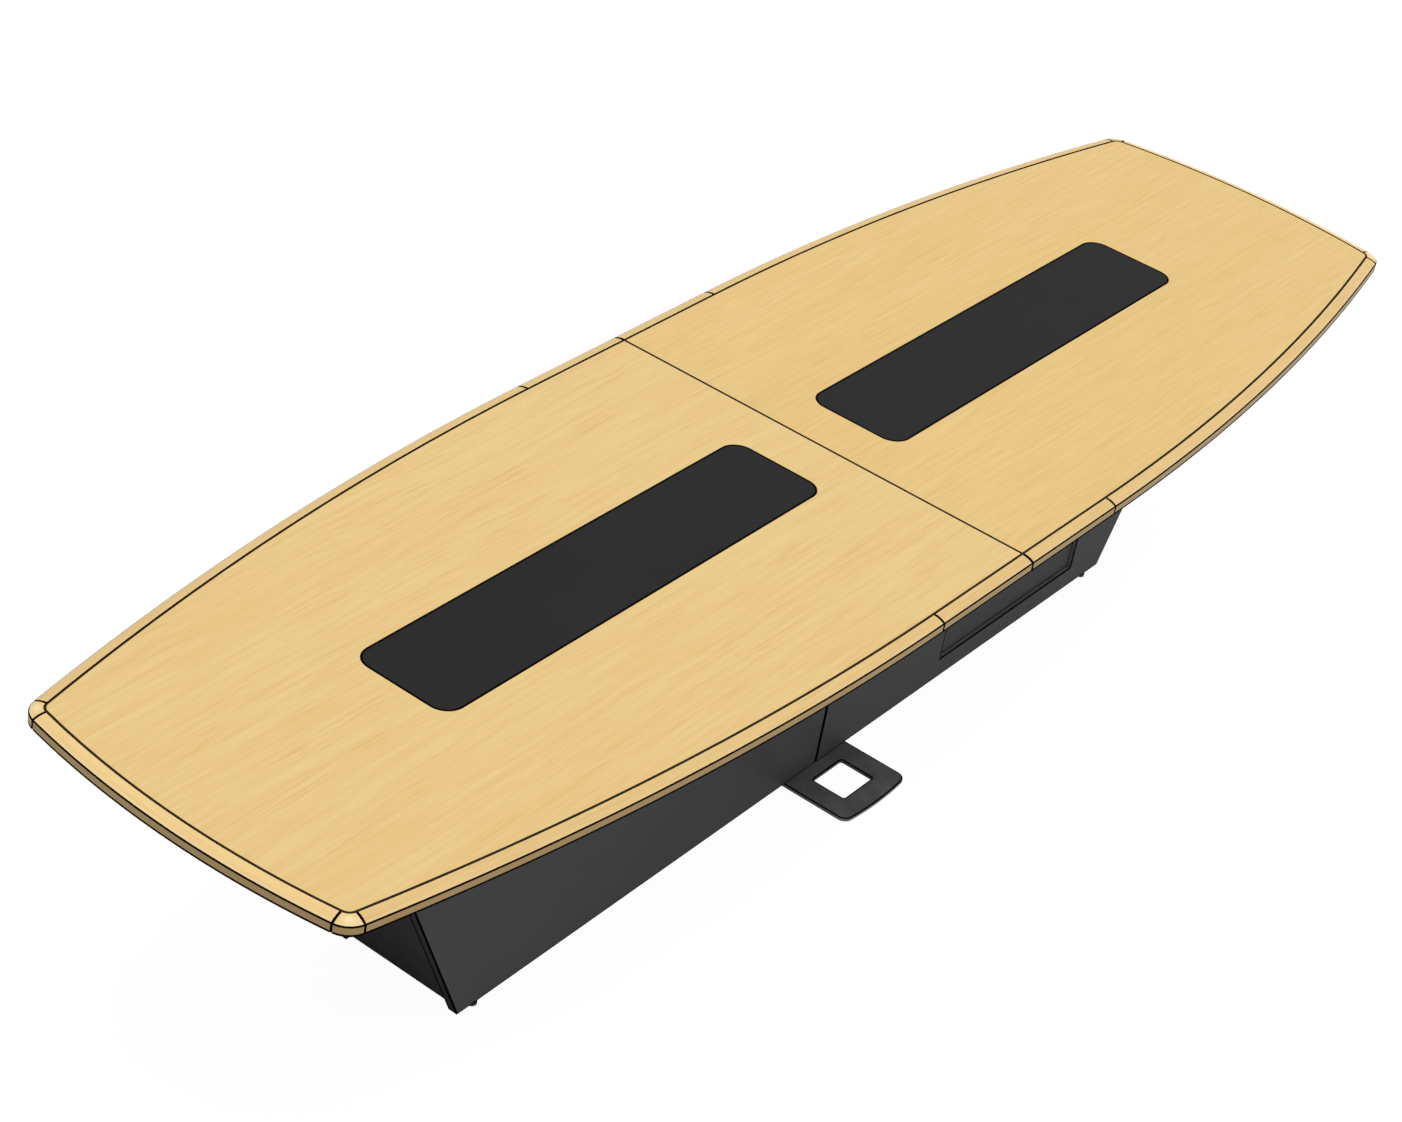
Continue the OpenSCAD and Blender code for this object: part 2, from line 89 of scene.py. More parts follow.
@dataclass(frozen=True)
class Top:
    """Sizes of the boat-shaped top, with the centres that its arcs share."""

    length: float = 3.6
    width: float = 1.06
    height: float = 0.74
    thickness: float = 0.028
    side_radius: float = 6.85
    end_radius: float = 1.9
    corner_radius: float = 0.048
    straight: float = 0.62
    edge_width: float = 0.026
    edge_drop: float = 0.008
    arris: float = 0.0011
    groove_width: float = 0.004
    groove_depth: float = 0.0015
    seam_line: float = 0.003
    arris_bend: float = 1.55

    @property
    def underside(self) -> float:
        """Height of the lower face of the top."""
        return self.height - self.thickness

    @property
    def edge_round(self) -> float:
        """Radius of the fall of the edging, from its width and its drop."""
        return (self.edge_width**2 + self.edge_drop**2) / (2 * self.edge_drop)

    @property
    def fall_length(self) -> float:
        """Length of the rounded fall of the edging: its radius times the angle at which the arris starts."""
        return self.edge_round * math.asin((self.edge_width - self.arris) / self.edge_round)

    @property
    def round_over(self) -> float:
        """Length of the rounded arris along the section: its bend times its size."""
        return self.arris_bend * self.arris

    @property
    def side_centre(self) -> Array:
        """Centre of the side arc of the far quarter on the back side."""
        return np.array([self.straight / 2, self.width / 2 - self.side_radius])

    @property
    def end_centre(self) -> Array:
        """Centre of the end arc of the far end."""
        return np.array([self.length / 2 - self.end_radius, 0.0])

    @cached_property
    def corner_centre(self) -> Array:
        """Centre of the corner arc: it keeps the corner's radius from the side arc and from the end arc.

        Returns:
            The point where two circles meet, which lie inside the side arc and the end arc.
        """
        a, ra = self.side_centre, self.side_radius - self.corner_radius
        b, rb = self.end_centre, self.end_radius - self.corner_radius
        gap = np.linalg.norm(b - a)
        along = (b - a) / gap
        reach = (ra**2 - rb**2 + gap**2) / (2 * gap)
        return a + reach * along + math.sqrt(ra**2 - reach**2) * np.array([along[1], -along[0]])

    def meeting(self, centre: Array) -> float:
        """Direction from the centre of the side arc or the end arc in which that arc meets the corner."""
        x, y = self.corner_centre - centre
        return math.atan2(y, x)


@dataclass(frozen=True)
class Well:
    """Sizes of an inset panel over its cable well."""

    length: float = 1.115
    width: float = 0.226
    thickness: float = 0.012
    corner: float = 0.04
    offset: float = 0.126


@dataclass(frozen=True)
class Trunk:
    """Sizes of the long base."""

    width: float = 0.304
    bottom: float = 2.286
    top: float = 2.96
    side: float = 0.022
    end: float = 0.018
    end_recess: float = 0.006
    end_raise: float = 0.022
    clearance: float = 0.012
    access_place: float = 0.457
    access_length: float = 0.546
    access_sill: float = 0.053
    access_head: float = 0.11
    access_gap: float = 0.0025
    cover_line: float = 0.0026
    glide_place: float = 0.055

    def opening(self, margin: float = 0.0) -> tuple[float, float, float, float]:
        """Edges of the access opening.

        Args:
            margin: How far they are moved inwards.

        Returns:
            The left, lower, right and upper edge.
        """
        left, low = self.access_place, self.clearance + self.access_sill
        right, high = left + self.access_length, TOP.underside - self.access_head
        return left + margin, low + margin, right - margin, high - margin


@dataclass(frozen=True)
class Foot:
    """Sizes of the foot plate."""

    width: float = 0.222
    reach: float = 0.167
    thickness: float = 0.008
    corner: float = 0.022
    bow: float = 0.9
    hole_length: float = 0.104
    hole_width: float = 0.082
    hole_corner: float = 0.006
    hole_place: float = 0.032
    pad: float = 0.011
    screw_place: float = 0.091
    screw_spread: float = 0.009
    screw_head: float = 0.0051


TOP, WELL, TRUNK, FOOT = Top(), Well(), Trunk(), Foot()
QUARTERS = [(end, side) for end in End for side in Side]


# Shader maths.


def linear(colour: Colour) -> tuple[float, ...]:
    """Turns a display colour into the linear colour that a shader takes.

    Args:
        colour: Red, green and blue from 0 to 255.

    Returns:
        Red, green, blue and alpha from 0 to 1.
    """
    c = np.asarray(colour, float) / 255
    out = np.where(c <= 0.04045, c / 12.92, ((c + 0.055) / 1.055) ** 2.4)
    return (*map(float, out), 1.0)


def shaded(colour: Colour, by: float) -> Colour:
    """A display colour times a number."""
    return tuple(by * c for c in colour)


class Number:
    """A number that varies over a surface: a socket whose Math nodes are written as sums and products."""

    def __init__(self, bench: "Bench", socket: bpy.types.NodeSocket) -> None:
        """Keeps the socket and the bench that its nodes are laid on."""
        self.bench, self.socket = bench, socket

    def _with(self, operation: str, other: "Number | float", turned: bool = False) -> "Number":
        """Lays one Math node.

        Args:
            operation: The node's operation.
            other: Its second value.
            turned: Whether the two values change places.

        Returns:
            The node's result.
        """
        values = (other, self) if turned else (self, other)
        node = self.bench.node("ShaderNodeMath", {"operation": operation}, dict(enumerate(values)))
        return Number(self.bench, node.outputs[0])

    def __add__(self, other: "Number | float") -> "Number":
        """Sum."""
        return self._with("ADD", other)

    def __sub__(self, other: "Number | float") -> "Number":
        """Difference."""
        return self._with("SUBTRACT", other)

    def __rsub__(self, other: float) -> "Number":
        """Difference, from the right."""
        return self._with("SUBTRACT", other, turned=True)

    def __mul__(self, other: "Number | float") -> "Number":
        """Product."""
        return self._with("MULTIPLY", other)

    __radd__, __rmul__ = __add__, __mul__

    def __gt__(self, other: float) -> "Number":
        """1 where the value is greater, otherwise 0."""
        return self._with("GREATER_THAN", other)

    def __lt__(self, other: float) -> "Number":
        """1 where the value is less, otherwise 0."""
        return self._with("LESS_THAN", other)

    def or_more(self, other: "Number") -> "Number":
        """The larger of the two."""
        return self._with("MAXIMUM", other)

    def ramp(self, low: float, high: float) -> "Number":
        """Runs smoothly from 0 to 1 and is held at both ends.

        Args:
            low: The value at which it starts.
            high: The value at which it stops.

        Returns:
            The share of the way, from 0 to 1.
        """
        settings = {"interpolation_type": "SMOOTHSTEP", "clamp": True}
        node = self.bench.node("ShaderNodeMapRange", settings, {"Value": self, "From Min": low, "From Max": high})
        return Number(self.bench, node.outputs["Result"])


class Bench:
    """The node tree of a material or of the world, on which nodes are laid."""

    def __init__(self, owner: bpy.types.Material | bpy.types.World) -> None:
        """Turns the owner's nodes on."""
        owner.use_nodes = True
        self.owner, self.tree = owner, owner.node_tree

    @property
    def shader(self) -> bpy.types.Node:
        """The material's Principled shader."""
        return self.tree.nodes["Principled BSDF"]

    def node(self, kind: str, settings: dict | None = None, inputs: dict | None = None) -> bpy.types.Node:
        """Lays one node.

        Args:
            kind: The node's type.
            settings: Its settings, which are set before the sockets.
            inputs: Values or links of its sockets, by name or index.

        Returns:
            The node.
        """
        node = self.tree.nodes.new(kind)
        for key, value in (settings or {}).items():
            setattr(node, key, value)
        for key, value in (inputs or {}).items():
            self.plug(node.inputs[key], value)
        return node

    def plug(self, socket: bpy.types.NodeSocket, value: object) -> None:
        """Links a socket to another, or gives it a plain value.

        Args:
            socket: The socket.
            value: A number that varies, another socket or a constant.
        """
        source = value.socket if isinstance(value, Number) else value
        if isinstance(source, bpy.types.NodeSocket):
            self.tree.links.new(source, socket)
        else:
            socket.default_value = source

    def place(self) -> bpy.types.NodeSocket:
        """Place on the object, in the row's frame."""
        return self.node("ShaderNodeTexCoord").outputs["Object"]

    def map(self) -> bpy.types.NodeSocket:
        """The piece's own map: metres along the piece and across its section."""
        return self.node("ShaderNodeUVMap", {"uv_map": "grain"}).outputs["UV"]

    def part(self, vector: bpy.types.NodeSocket, axis: str) -> Number:
        """One component of a vector."""
        return Number(self, self.node("ShaderNodeSeparateXYZ", None, {0: vector}).outputs[axis])

    def attribute(self, name: str) -> Number:
        """A number that the mesh holds at its vertices."""
        return Number(self, self.node("ShaderNodeAttribute", {"attribute_name": name}).outputs["Fac"])

    def stretch(self, vector: object, by: Triple, shift: Triple = (0.0, 0.0, 0.0)) -> bpy.types.NodeSocket:
        """Scales and shifts a place before a pattern reads it."""
        values = {0: vector, 1: by, 2: shift}
        return self.node("ShaderNodeVectorMath", {"operation": "MULTIPLY_ADD"}, values).outputs["Vector"]

    def noise(self, vector: object, scale: float = 1.0, detail: float = 2.0, rough: float = 0.5) -> Number:
        """Soft noise with a mean of about one half."""
        values = {"Vector": vector, "Scale": scale, "Detail": detail, "Roughness": rough}
        return Number(self, self.node("ShaderNodeTexNoise", {"noise_dimensions": "3D"}, values).outputs[0])

    def blend(self, share: Number, first: object, second: object) -> bpy.types.NodeSocket:
        """Mixes two colours.

        Args:
            share: Share of the second colour, from 0 to 1.
            first: A display colour or a socket.
            second: A display colour or a socket.

        Returns:
            The mixed colour.
        """
        first, second = (linear(c) if isinstance(c, tuple) else c for c in (first, second))
        settings = {"data_type": "RGBA", "clamp_factor": True}
        return self.node("ShaderNodeMix", settings, {0: share, 6: first, 7: second}).outputs[2]

    def bump(self, height: Number, metres: float, strength: float) -> None:
        """Feeds a height to the shader's normal."""
        node = self.node("ShaderNodeBump", None, {"Height": height, "Distance": metres, "Strength": strength})
        self.plug(self.shader.inputs["Normal"], node.outputs["Normal"])

    def finish(self, **values: object) -> None:
        """Sets the shader's sockets from constants or links; an underscore in a name stands for a space."""
        for key, value in values.items():
            self.plug(self.shader.inputs[key.replace("_", " ")], value)

    def seen(self) -> Number:
        """Picks the rays that show the backdrop: those from the camera, in a gloss and through glass.

        Returns:
            1 for such a ray, otherwise 0.
        """
        path = self.node("ShaderNodeLightPath")
        rays = ("Is Camera Ray", "Is Glossy Ray", "Is Transmission Ray")
        camera, gloss, glass = (Number(self, path.outputs[ray]) for ray in rays)
        return camera.or_more(gloss).or_more(glass)

    def show(self, output: str, share: Number, first: bpy.types.Node, second: bpy.types.Node) -> None:
        """Mixes two shaders and feeds the output with them.

        Args:
            output: Name of the output node.
            share: Share of the second shader.
            first: The first shader.
            second: The second shader.
        """
        mixed = self.node("ShaderNodeMixShader", None, {0: share, 1: first.outputs[0], 2: second.outputs[0]})
        self.plug(self.tree.nodes[output].inputs[0], mixed.outputs[0])


# Finishes.


@dataclass(frozen=True)
class Finish:
    """A finish by its name. Each kind of finish lays its own nodes."""

    name: str

    def lay(self, b: Bench) -> None:
        """Lays the nodes of the finish on the bench of its material."""
        raise NotImplementedError

    def build(self) -> bpy.types.Material:
        """Lays the finish on a new material.

        Returns:
            The material.
        """
        bench = Bench(bpy.data.materials.new(self.name))
        self.lay(bench)
        return bench.owner


@dataclass(frozen=True)
class Wood(Finish):
    """Lacquered light wood: a calm ground, short darker flecks and fine fibres, all along the grain."""

    light: Colour
    deep: Colour
    fleck: Colour
    # flank is painted shade, the darker colour of the edging's upright face; glow is the colour of its painted
    # highlights, and the shares below set how strong they are.
    flank: Colour = (186, 155, 102)
    glow: Colour = (254, 232, 184)
    line: Colour = (16, 13, 9)
    painted_highlight_share: float = 0.62
    painted_rim_highlight: float = 0.12
    rim_fade: tuple[float, float] = (0.007, 0.003)
    flank_shade_share: float = 0.85
    line_share: float = 0.97
    hair: float = 0.0002
    grain: Grain = Grain.ALONG_X
    shift: Triple = (0.0, 0.0, 0.0)
    roughness: float = 0.45
    shine: float = 0.15
    strength: float = 0.55

    def lay(self, b: Bench) -> None:
        """Lays the patterns of the grain over each other, and then what the kind of piece shows.

        A veneer is dark in its grooves and beside its seam. A piece of edging gets a painted highlight in the middle
        of a corner's rounded fall and just inside its arris, and painted shade, a darker colour, on its upright face.
        The grain wanders with slow noise.

        Args:
            b: The bench of the material.
        """
        spot = b.map() if self.grain is Grain.ALONG_PIECE else b.place()
        x, y, z = (b.part(spot, axis) for axis in "XYZ")
        wander = b.noise(b.stretch(spot, (1.5, 6.0, 6.0), self.shift)) * 0.03
        bent = b.node("ShaderNodeCombineXYZ", None, {0: x, 1: y + wander, 2: z}).outputs[0]

        def waves(along: float, across: float, shift: Triple, detail: float = 2.0, rough: float = 0.5) -> Number:
            """Noise that is stretched along the grain, from its waves in a metre along and across."""
            return b.noise(b.stretch(bent, (along, across, across), shift), detail=detail, rough=rough)

        there, back = self.shift, self.shift[::-1]
        cloud = waves(1.2, 9.0, there, detail=3.0)
        veins = waves(4.5, 95.0, there, detail=3.0, rough=0.6)
        patch = waves(2.6, 17.0, back)
        streaks = waves(8.0, 210.0, back)
        fibres = waves(22.0, 560.0, there)
        ground = (cloud - 0.5) * 0.5 + (veins - 0.5) * 1.45 + (fibres - 0.5) * 0.6 + 0.5
        colour = b.blend(ground.ramp(0.1, 0.9), self.deep, self.light)
        flecks = streaks.ramp(0.5, 0.72) * (patch.ramp(0.4, 0.6) * 0.7 + 0.3)
        colour = b.blend(flecks * self.strength, colour, self.fleck)
        roughness = (veins - 0.5) * 0.25 + self.roughness
        if self.grain is Grain.ALONG_X:
            skin, seam = TOP.height - self.hair, TOP.seam_line
            lined = (z > skin - TOP.groove_depth - self.hair) * (z < skin)
            lined = lined + (x > -seam) * (x < seam) * (z > skin - self.hair / 2)
            colour = b.blend(lined * self.line_share, colour, self.line)
            roughness = roughness + lined * 0.5
        else:
            # Painted highlights in the glow colour: in a corner's middle, where the mesh's edge weight is set, and
            # along the fall just inside the arris. Painted shade: the flank colour from the arris down over the
            # upright face.
            fall = TOP.fall_length
            painted_rim_highlight = y.ramp(*(fall - gap for gap in self.rim_fade)) * self.painted_rim_highlight
            colour = b.blend(b.attribute("edge").ramp(0.2, 1.0) * self.painted_highlight_share, colour, self.glow)
            colour = b.blend(painted_rim_highlight, colour, self.glow)
            colour = b.blend(y.ramp(fall, fall + TOP.round_over) * self.flank_shade_share, colour, self.flank)
        b.bump(fibres * 0.6 + veins * 0.4, 0.00006, 0.35)
        b.finish(Base_Color=colour, Roughness=roughness, Specular_IOR_Level=self.shine)


@dataclass(frozen=True)
class Laminate(Finish):
    """Pressed laminate with a fine texture, rubbed a little lighter in places along its edges."""

    colour: Colour
    worn: Colour
    line: Colour = (10, 10, 10)
    frame: tuple[float, float, float, float] | None = None
    roughness: float = 0.55
    shine: float = 0.05
    texture: float = 0.00005

    def lay(self, b: Bench) -> None:
        """Lays a cloudy tone, a fine texture, rubbed places and, with a frame, a dark line outside it.

        Args:
            b: The bench of the material.
        """
        spot = b.place()
        cloud = b.noise(spot, scale=2.6, detail=3.0)
        skin = b.noise(spot, scale=900.0, rough=0.6)
        rub = b.attribute("edge").ramp(0.2, 0.8) * b.noise(spot, scale=38.0, detail=3.0).ramp(0.48, 0.7)
        tone = b.blend(cloud.ramp(0.3, 0.7), shaded(self.colour, 0.9), self.colour)
        tone = b.blend(skin.ramp(0.35, 0.7) * 0.12, tone, self.worn)
        tone = b.blend(rub * 0.4, tone, self.worn)
        if self.frame is not None:
            x, z = b.part(spot, "X"), b.part(spot, "Z")
            left, low, right, high = self.frame
            tone = b.blend((x < left) + (x > right) + (z < low) + (z > high), tone, self.line)
        b.bump(skin, self.texture, 0.5)
        roughness = (cloud - 0.5) * 0.16 + self.roughness
        b.finish(Base_Color=tone, Roughness=roughness, Specular_IOR_Level=self.shine)


@dataclass(frozen=True)
class Metal(Finish):
    """Plated steel, with the soft clouds that plating leaves."""

    colour: Colour
    roughness: float = 0.34

    def lay(self, b: Bench) -> None:
        """Lays two tones of plating and fine drawing marks.

        Args:
            b: The bench of the material.
        """
        spot = b.place()
        cloud = b.noise(spot, scale=70.0, detail=3.0)
        red, green, blue = self.colour
        tone = b.blend(cloud.ramp(0.35, 0.65), (red, green * 0.99, blue * 0.93), self.colour)
        b.bump(b.noise(b.stretch(spot, (300.0, 1600.0, 1600.0)), detail=1.0), 0.00002, 0.3)
        b.finish(Base_Color=tone, Roughness=(cloud - 0.5) * 0.3 + self.roughness, Metallic=1.0)


@dataclass(frozen=True)
class Moulded(Finish):
    """Moulded plastic or rubber, or a sprayed coat, with a fine grain."""

    colour: Colour
    worn: Colour
    roughness: float = 0.5
    shine: float = 0.35
    grain: float = 700.0
    depth: float = 0.00004

    def lay(self, b: Bench) -> None:
        """Lays a mottled tone with small rubbed spots under a fine orange-peel grain.

        Args:
            b: The bench of the material.
        """
        spot = b.place()
        peel = b.noise(spot, scale=self.grain, detail=1.5)
        mottle = b.noise(spot, scale=24.0, detail=3.0)
        rub = b.noise(spot, scale=60.0, detail=4.0, rough=0.65).ramp(0.6, 0.72)
        tone = b.blend(mottle.ramp(0.3, 0.7), shaded(self.colour, 0.88), self.colour)
        tone = b.blend(rub * 0.25, tone, self.worn)
        b.bump(peel, self.depth, 0.6)
        roughness = (peel - 0.5) * 0.12 + self.roughness - rub * 0.06
        b.finish(Base_Color=tone, Roughness=roughness, Specular_IOR_Level=self.shine)


VENEER = {
    End.NEAR: Wood("veneer_near", (233, 203, 142), (227, 193, 128), (217, 179, 113), shift=(3.1, 7.7, 1.3)),
    End.FAR: Wood("veneer_far", (231, 200, 136), (225, 190, 122), (215, 176, 107), shift=(8.4, 2.9, 5.6)),
}
# The edging's fourth colour is the darker colour of its upright face, painted shade.
EDGING = Wood(
    "edging_wood", (230, 198, 137), (223, 188, 126), (208, 169, 107), (184, 153, 101),
    grain=Grain.ALONG_PIECE, roughness=0.4,
)
# A lighter copy of the edging for the ends and the corners, with a darker upright face and a stronger highlight
# beside the arris: painted light and painted shade.
PAINTED_LIGHT_EDGING = Wood(
    "edging_wood_ends", (243, 211, 147), (237, 202, 137), (222, 182, 120), (176, 146, 95),
    painted_rim_highlight=0.4, grain=Grain.ALONG_PIECE, roughness=0.4,
)
BARE_WOOD = Wood(
    "bare_wood", (208, 184, 142), (188, 160, 116), (160, 126, 84),
    line=(188, 160, 116), roughness=0.62, shine=0.2,
)
GROOVE = Moulded("groove_lacquer", (16, 13, 9), (18, 15, 11), roughness=0.95, shine=0.0)
# Near-black for dark lines along arrises, and painted shade on the inset panels' walls in their gap and beside the
# recessed end panels.
ARRIS_AND_SHADE = Moulded("arris_lacquer", (11, 11, 11), (14, 14, 14), roughness=0.95, shine=0.0)
CHARCOAL = Laminate("charcoal_laminate", (88, 90, 92), (114, 116, 118))
COVER = Laminate(
    "cover_laminate", (83, 86, 88), (108, 111, 113), frame=TRUNK.opening(TRUNK.access_gap + TRUNK.cover_line)
)
EDGE_BAND = Laminate("edge_band", (128, 133, 140), (144, 149, 156))
DARK_END = Laminate("dark_end_laminate", (70, 71, 72), (88, 89, 90), shine=0.0)
BLACK_INSET = Laminate("black_inset_laminate", (38, 38, 38), (53, 53, 53), roughness=0.6)
COATED = Moulded("coated_steel", (114, 117, 121), (150, 152, 156), shine=0.08)
# A lighter copy of the coat for the foot plate's outer wall: a painted highlight.
COATED_HIGHLIGHT = Moulded("coated_steel_edge", (158, 161, 165), (176, 178, 182), shine=0.08)
RUBBER = Moulded("pad_rubber", (34, 34, 34), (48, 48, 48), roughness=0.8, shine=0.2, depth=0.00008)
GLIDE_BLACK = Moulded("glide_black", (34, 34, 34), (60, 60, 60), roughness=0.45, grain=1100.0)
ZINC = Metal("zinc_plating", (190, 192, 196))


# Surfaces.


@dataclass
class Surface:
    """A mesh in the making: points, blocks of faces, a map of the grain, a weight per point for painted highlights on
    the edging's corners and for worn edges on the boards, and kinds of face.
    """

    points: Array
    faces: list[Array]
    grain: Array | None = None
    edge: Array | None = None
    kinds: list[Array] = field(default_factory=list)

    def to_object(self, name: str, materials: Sequence[bpy.types.Material], smooth: float | None) -> bpy.types.Object:
        """Puts the arrays into a mesh object at the origin.

        Args:
            name: The piece's name.
            materials: Its materials, in the order of Face.
            smooth: Angle in degrees past which an edge stays sharp, or None for flat faces.

        Returns:
            The object.
        """
        mesh = bpy.data.meshes.new(name)
        mesh.from_pydata(self.points.tolist(), [], [row for block in self.faces for row in block.tolist()])
        if self.edge is not None:
            layer = mesh.attributes.new("edge", "FLOAT", "POINT")
            layer.data.foreach_set("value", self.edge.astype(np.float32).ravel())
        if self.grain is not None:
            corners = np.empty(len(mesh.loops), np.int32)
            mesh.loops.foreach_get("vertex_index", corners)
            layer = mesh.uv_layers.new(name="grain")
            layer.data.foreach_set("uv", self.grain[corners].astype(np.float32).ravel())
        for material in materials:
            mesh.materials.append(material)
        if self.kinds:
            mesh.polygons.foreach_set("material_index", np.concatenate(self.kinds).astype(np.int32))
        if smooth is not None:
            mesh.shade_smooth()
            mesh.set_sharp_from_angle(angle=math.radians(smooth))
        mesh.validate()
        mesh.update()
        return placed(name, mesh)


def placed(name: str, data: bpy.types.ID) -> bpy.types.Object:
    """Puts a mesh, a lamp or a camera into the scene, at the origin.

    Args:
        name: The object's name.
        data: What it shows.

    Returns:
        The object.
    """
    thing = bpy.data.objects.new(name, data)
    bpy.context.scene.collection.objects.link(thing)
    return thing


def quads(rows: int, columns: int, closed: bool = False) -> Array:
    """Faces between closed rings of points.

    Args:
        rows: Number of rings.
        columns: Points of each ring.
        closed: Whether the last ring joins the first.

    Returns:
        One row of four point numbers for each face.
    """
    r = np.arange(rows if closed else rows - 1)[:, None]
    c = np.arange(columns)[None, :]
    r1, c1 = (r + 1) % rows, (c + 1) % columns
    return np.stack([r * columns + c, r * columns + c1, r1 * columns + c1, r1 * columns + c], -1).reshape(-1, 4)


def loft(rings: Array, closed: bool = False, turned: bool = False) -> tuple[Array, list[Array]]:
    """Joins equal closed rings to a shell.

    Args:
        rings: Points by ring, place in the ring and coordinate.
        closed: Whether the last ring joins the first; otherwise both ends are capped.
        turned: Whether the faces are turned over.

    Returns:
        The points and the blocks of faces.
    """
    m, n, _ = rings.shape
    faces = [quads(m, n, closed)]
    if not closed:
        faces += [np.arange(n)[None, ::-1], (np.arange(n) + (m - 1) * n)[None, :]]
    if turned:
        faces = [block[:, ::-1] for block in faces]
    return rings.reshape(-1, 3), faces


def drawn_in(outline: Array, by: float) -> Array:
    """Moves each side of a polygon inwards and finds its new corners.

    Args:
        outline: Corners in order, counter-clockwise.
        by: Distance, negative to move outwards.

    Returns:
        The corners where the neighbouring moved sides meet.
    """
    step = np.roll(outline, -1, 0) - outline
    step /= np.linalg.norm(step, axis=1, keepdims=True)
    inward = np.stack([-step[:, 1], step[:, 0]], 1)
    before, normal_before = np.roll(step, 1, 0), np.roll(inward, 1, 0)
    cross = before[:, 0] * step[:, 1] - before[:, 1] * step[:, 0]
    gap = (inward - normal_before) * by
    t = (gap[:, 0] * step[:, 1] - gap[:, 1] * step[:, 0]) / cross
    return outline + normal_before * by + before * t[:, None]


def arc(centre: Sequence[float], radius: float, start: float, stop: float, count: int) -> Array:
    """Points on a circle about a centre, from one angle to another."""
    a = np.linspace(start, stop, count)
    return np.asarray(centre) + radius * np.stack([np.cos(a), np.sin(a)], 1)


def bend(start: Array, corner: Array, stop: Array, t: Array) -> Array:
    """Quadratic curve: start times (1 - t) squared, corner times 2 t (1 - t) and stop times t squared, added up."""
    return (1 - t) ** 2 * start + 2 * t * (1 - t) * corner + t**2 * stop


def rounded(x: float, y: float, r: float, count: int, centre: Sequence[float]) -> Array:
    """Outline of a rectangle with rounded corners: four quarter circles joined by straight sides.

    Args:
        x: Length.
        y: Width.
        r: Radius of the corners.
        count: Points on each corner.
        centre: Its middle.

    Returns:
        Points in order, counter-clockwise.
    """
    quarter = math.pi / 2
    middles = [(1, 1), (-1, 1), (-1, -1), (1, -1)]
    corners = [
        arc((i * (x / 2 - r), j * (y / 2 - r)), r, k * quarter, (k + 1) * quarter, count)
        for k, (i, j) in enumerate(middles)
    ]
    return np.concatenate(corners) + np.asarray(centre)


def lathe(
    profile: Array, count: int, at: Sequence[float], hexagon: Array, thread: Array, pitch: float = 1.0
) -> Surface:
    """Turns a profile about an upright axis.

    The radius at an angle is the profile's, times the hexagon's cos(30) / cos(angle to the nearest flat)
    where the row is a hexagon, less the thread's depth times a triangle wave of height / pitch - angle / turn.

    Args:
        profile: Radius and height of each row, from the bottom up.
        count: Points round the axis.
        at: Place of the axis on the floor.
        hexagon: 1 where a row is a hexagon, 0 where it is round.
        thread: Depth of the thread at each row.
        pitch: Rise of the thread in one turn.

    Returns:
        The surface, with its ends closed.
    """
    a = np.linspace(0, 2 * math.pi, count, endpoint=False)[None, :]
    r, z = profile[:, 0][:, None], profile[:, 1][:, None]
    flat = math.cos(math.pi / 6) / np.cos(np.mod(a, math.pi / 3) - math.pi / 6)
    turn = np.mod(z / pitch - a / (2 * math.pi), 1.0)
    r = r * np.where(hexagon[:, None] > 0, flat, 1.0) - thread[:, None] * np.abs(2 * turn - 1)
    rings = np.stack([at[0] + r * np.cos(a), at[1] + r * np.sin(a), np.broadcast_to(z, r.shape)], -1)
    return Surface(*loft(rings))


# The table.


@dataclass
class Assembly:
    """A part of the table, which makes its pieces and dresses its carried-over nodes."""

    shelf: dict[str, bpy.types.Material]

    def look(self, finish: Finish) -> bpy.types.Material:
        """The material of a finish, built at its first use and then shared.

        Args:
            finish: The finish.

        Returns:
            Its material, from the shelf.
        """
        if finish.name not in self.shelf:
            self.shelf[finish.name] = finish.build()
        return self.shelf[finish.name]

    def make(
        self, name: str, surface: Surface, finishes: Sequence[Finish], body: str, slot: str, node: str,
        smooth: float | None = 40.0,
    ) -> None:
        """Makes a new piece and puts it on its body in place of the node that it stands for.

        Args:
            name: The piece's name.
            surface: Its mesh.
            finishes: Its finishes, in the order of Face.
            body: The body that it rides on.
            slot: The record's material slot of its finish; not used.
            node: The node that it replaces.
            smooth: Angle in degrees past which an edge stays sharp, or None for flat faces.
        """
        piece = surface.to_object(name, [self.look(finish) for finish in finishes], smooth)
        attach(piece, body)
        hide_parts(node)
        log.info("made %s: %d points, rides %s", piece.name, len(piece.data.vertices), body)

    def dress(self, finish: Finish, *nodes: str) -> None:
        """Gives carried-over nodes their finish.

        Args:
            finish: The finish.
            nodes: Names of the nodes.
        """
        material = self.look(finish)
        for name in nodes:
            node = frame["nodes"][name]
            if not node.material_slots:
                node.data.materials.append(material)
            for slot in node.material_slots:
                slot.material = material
            log.info("dressed %s with %s", name, finish.name)


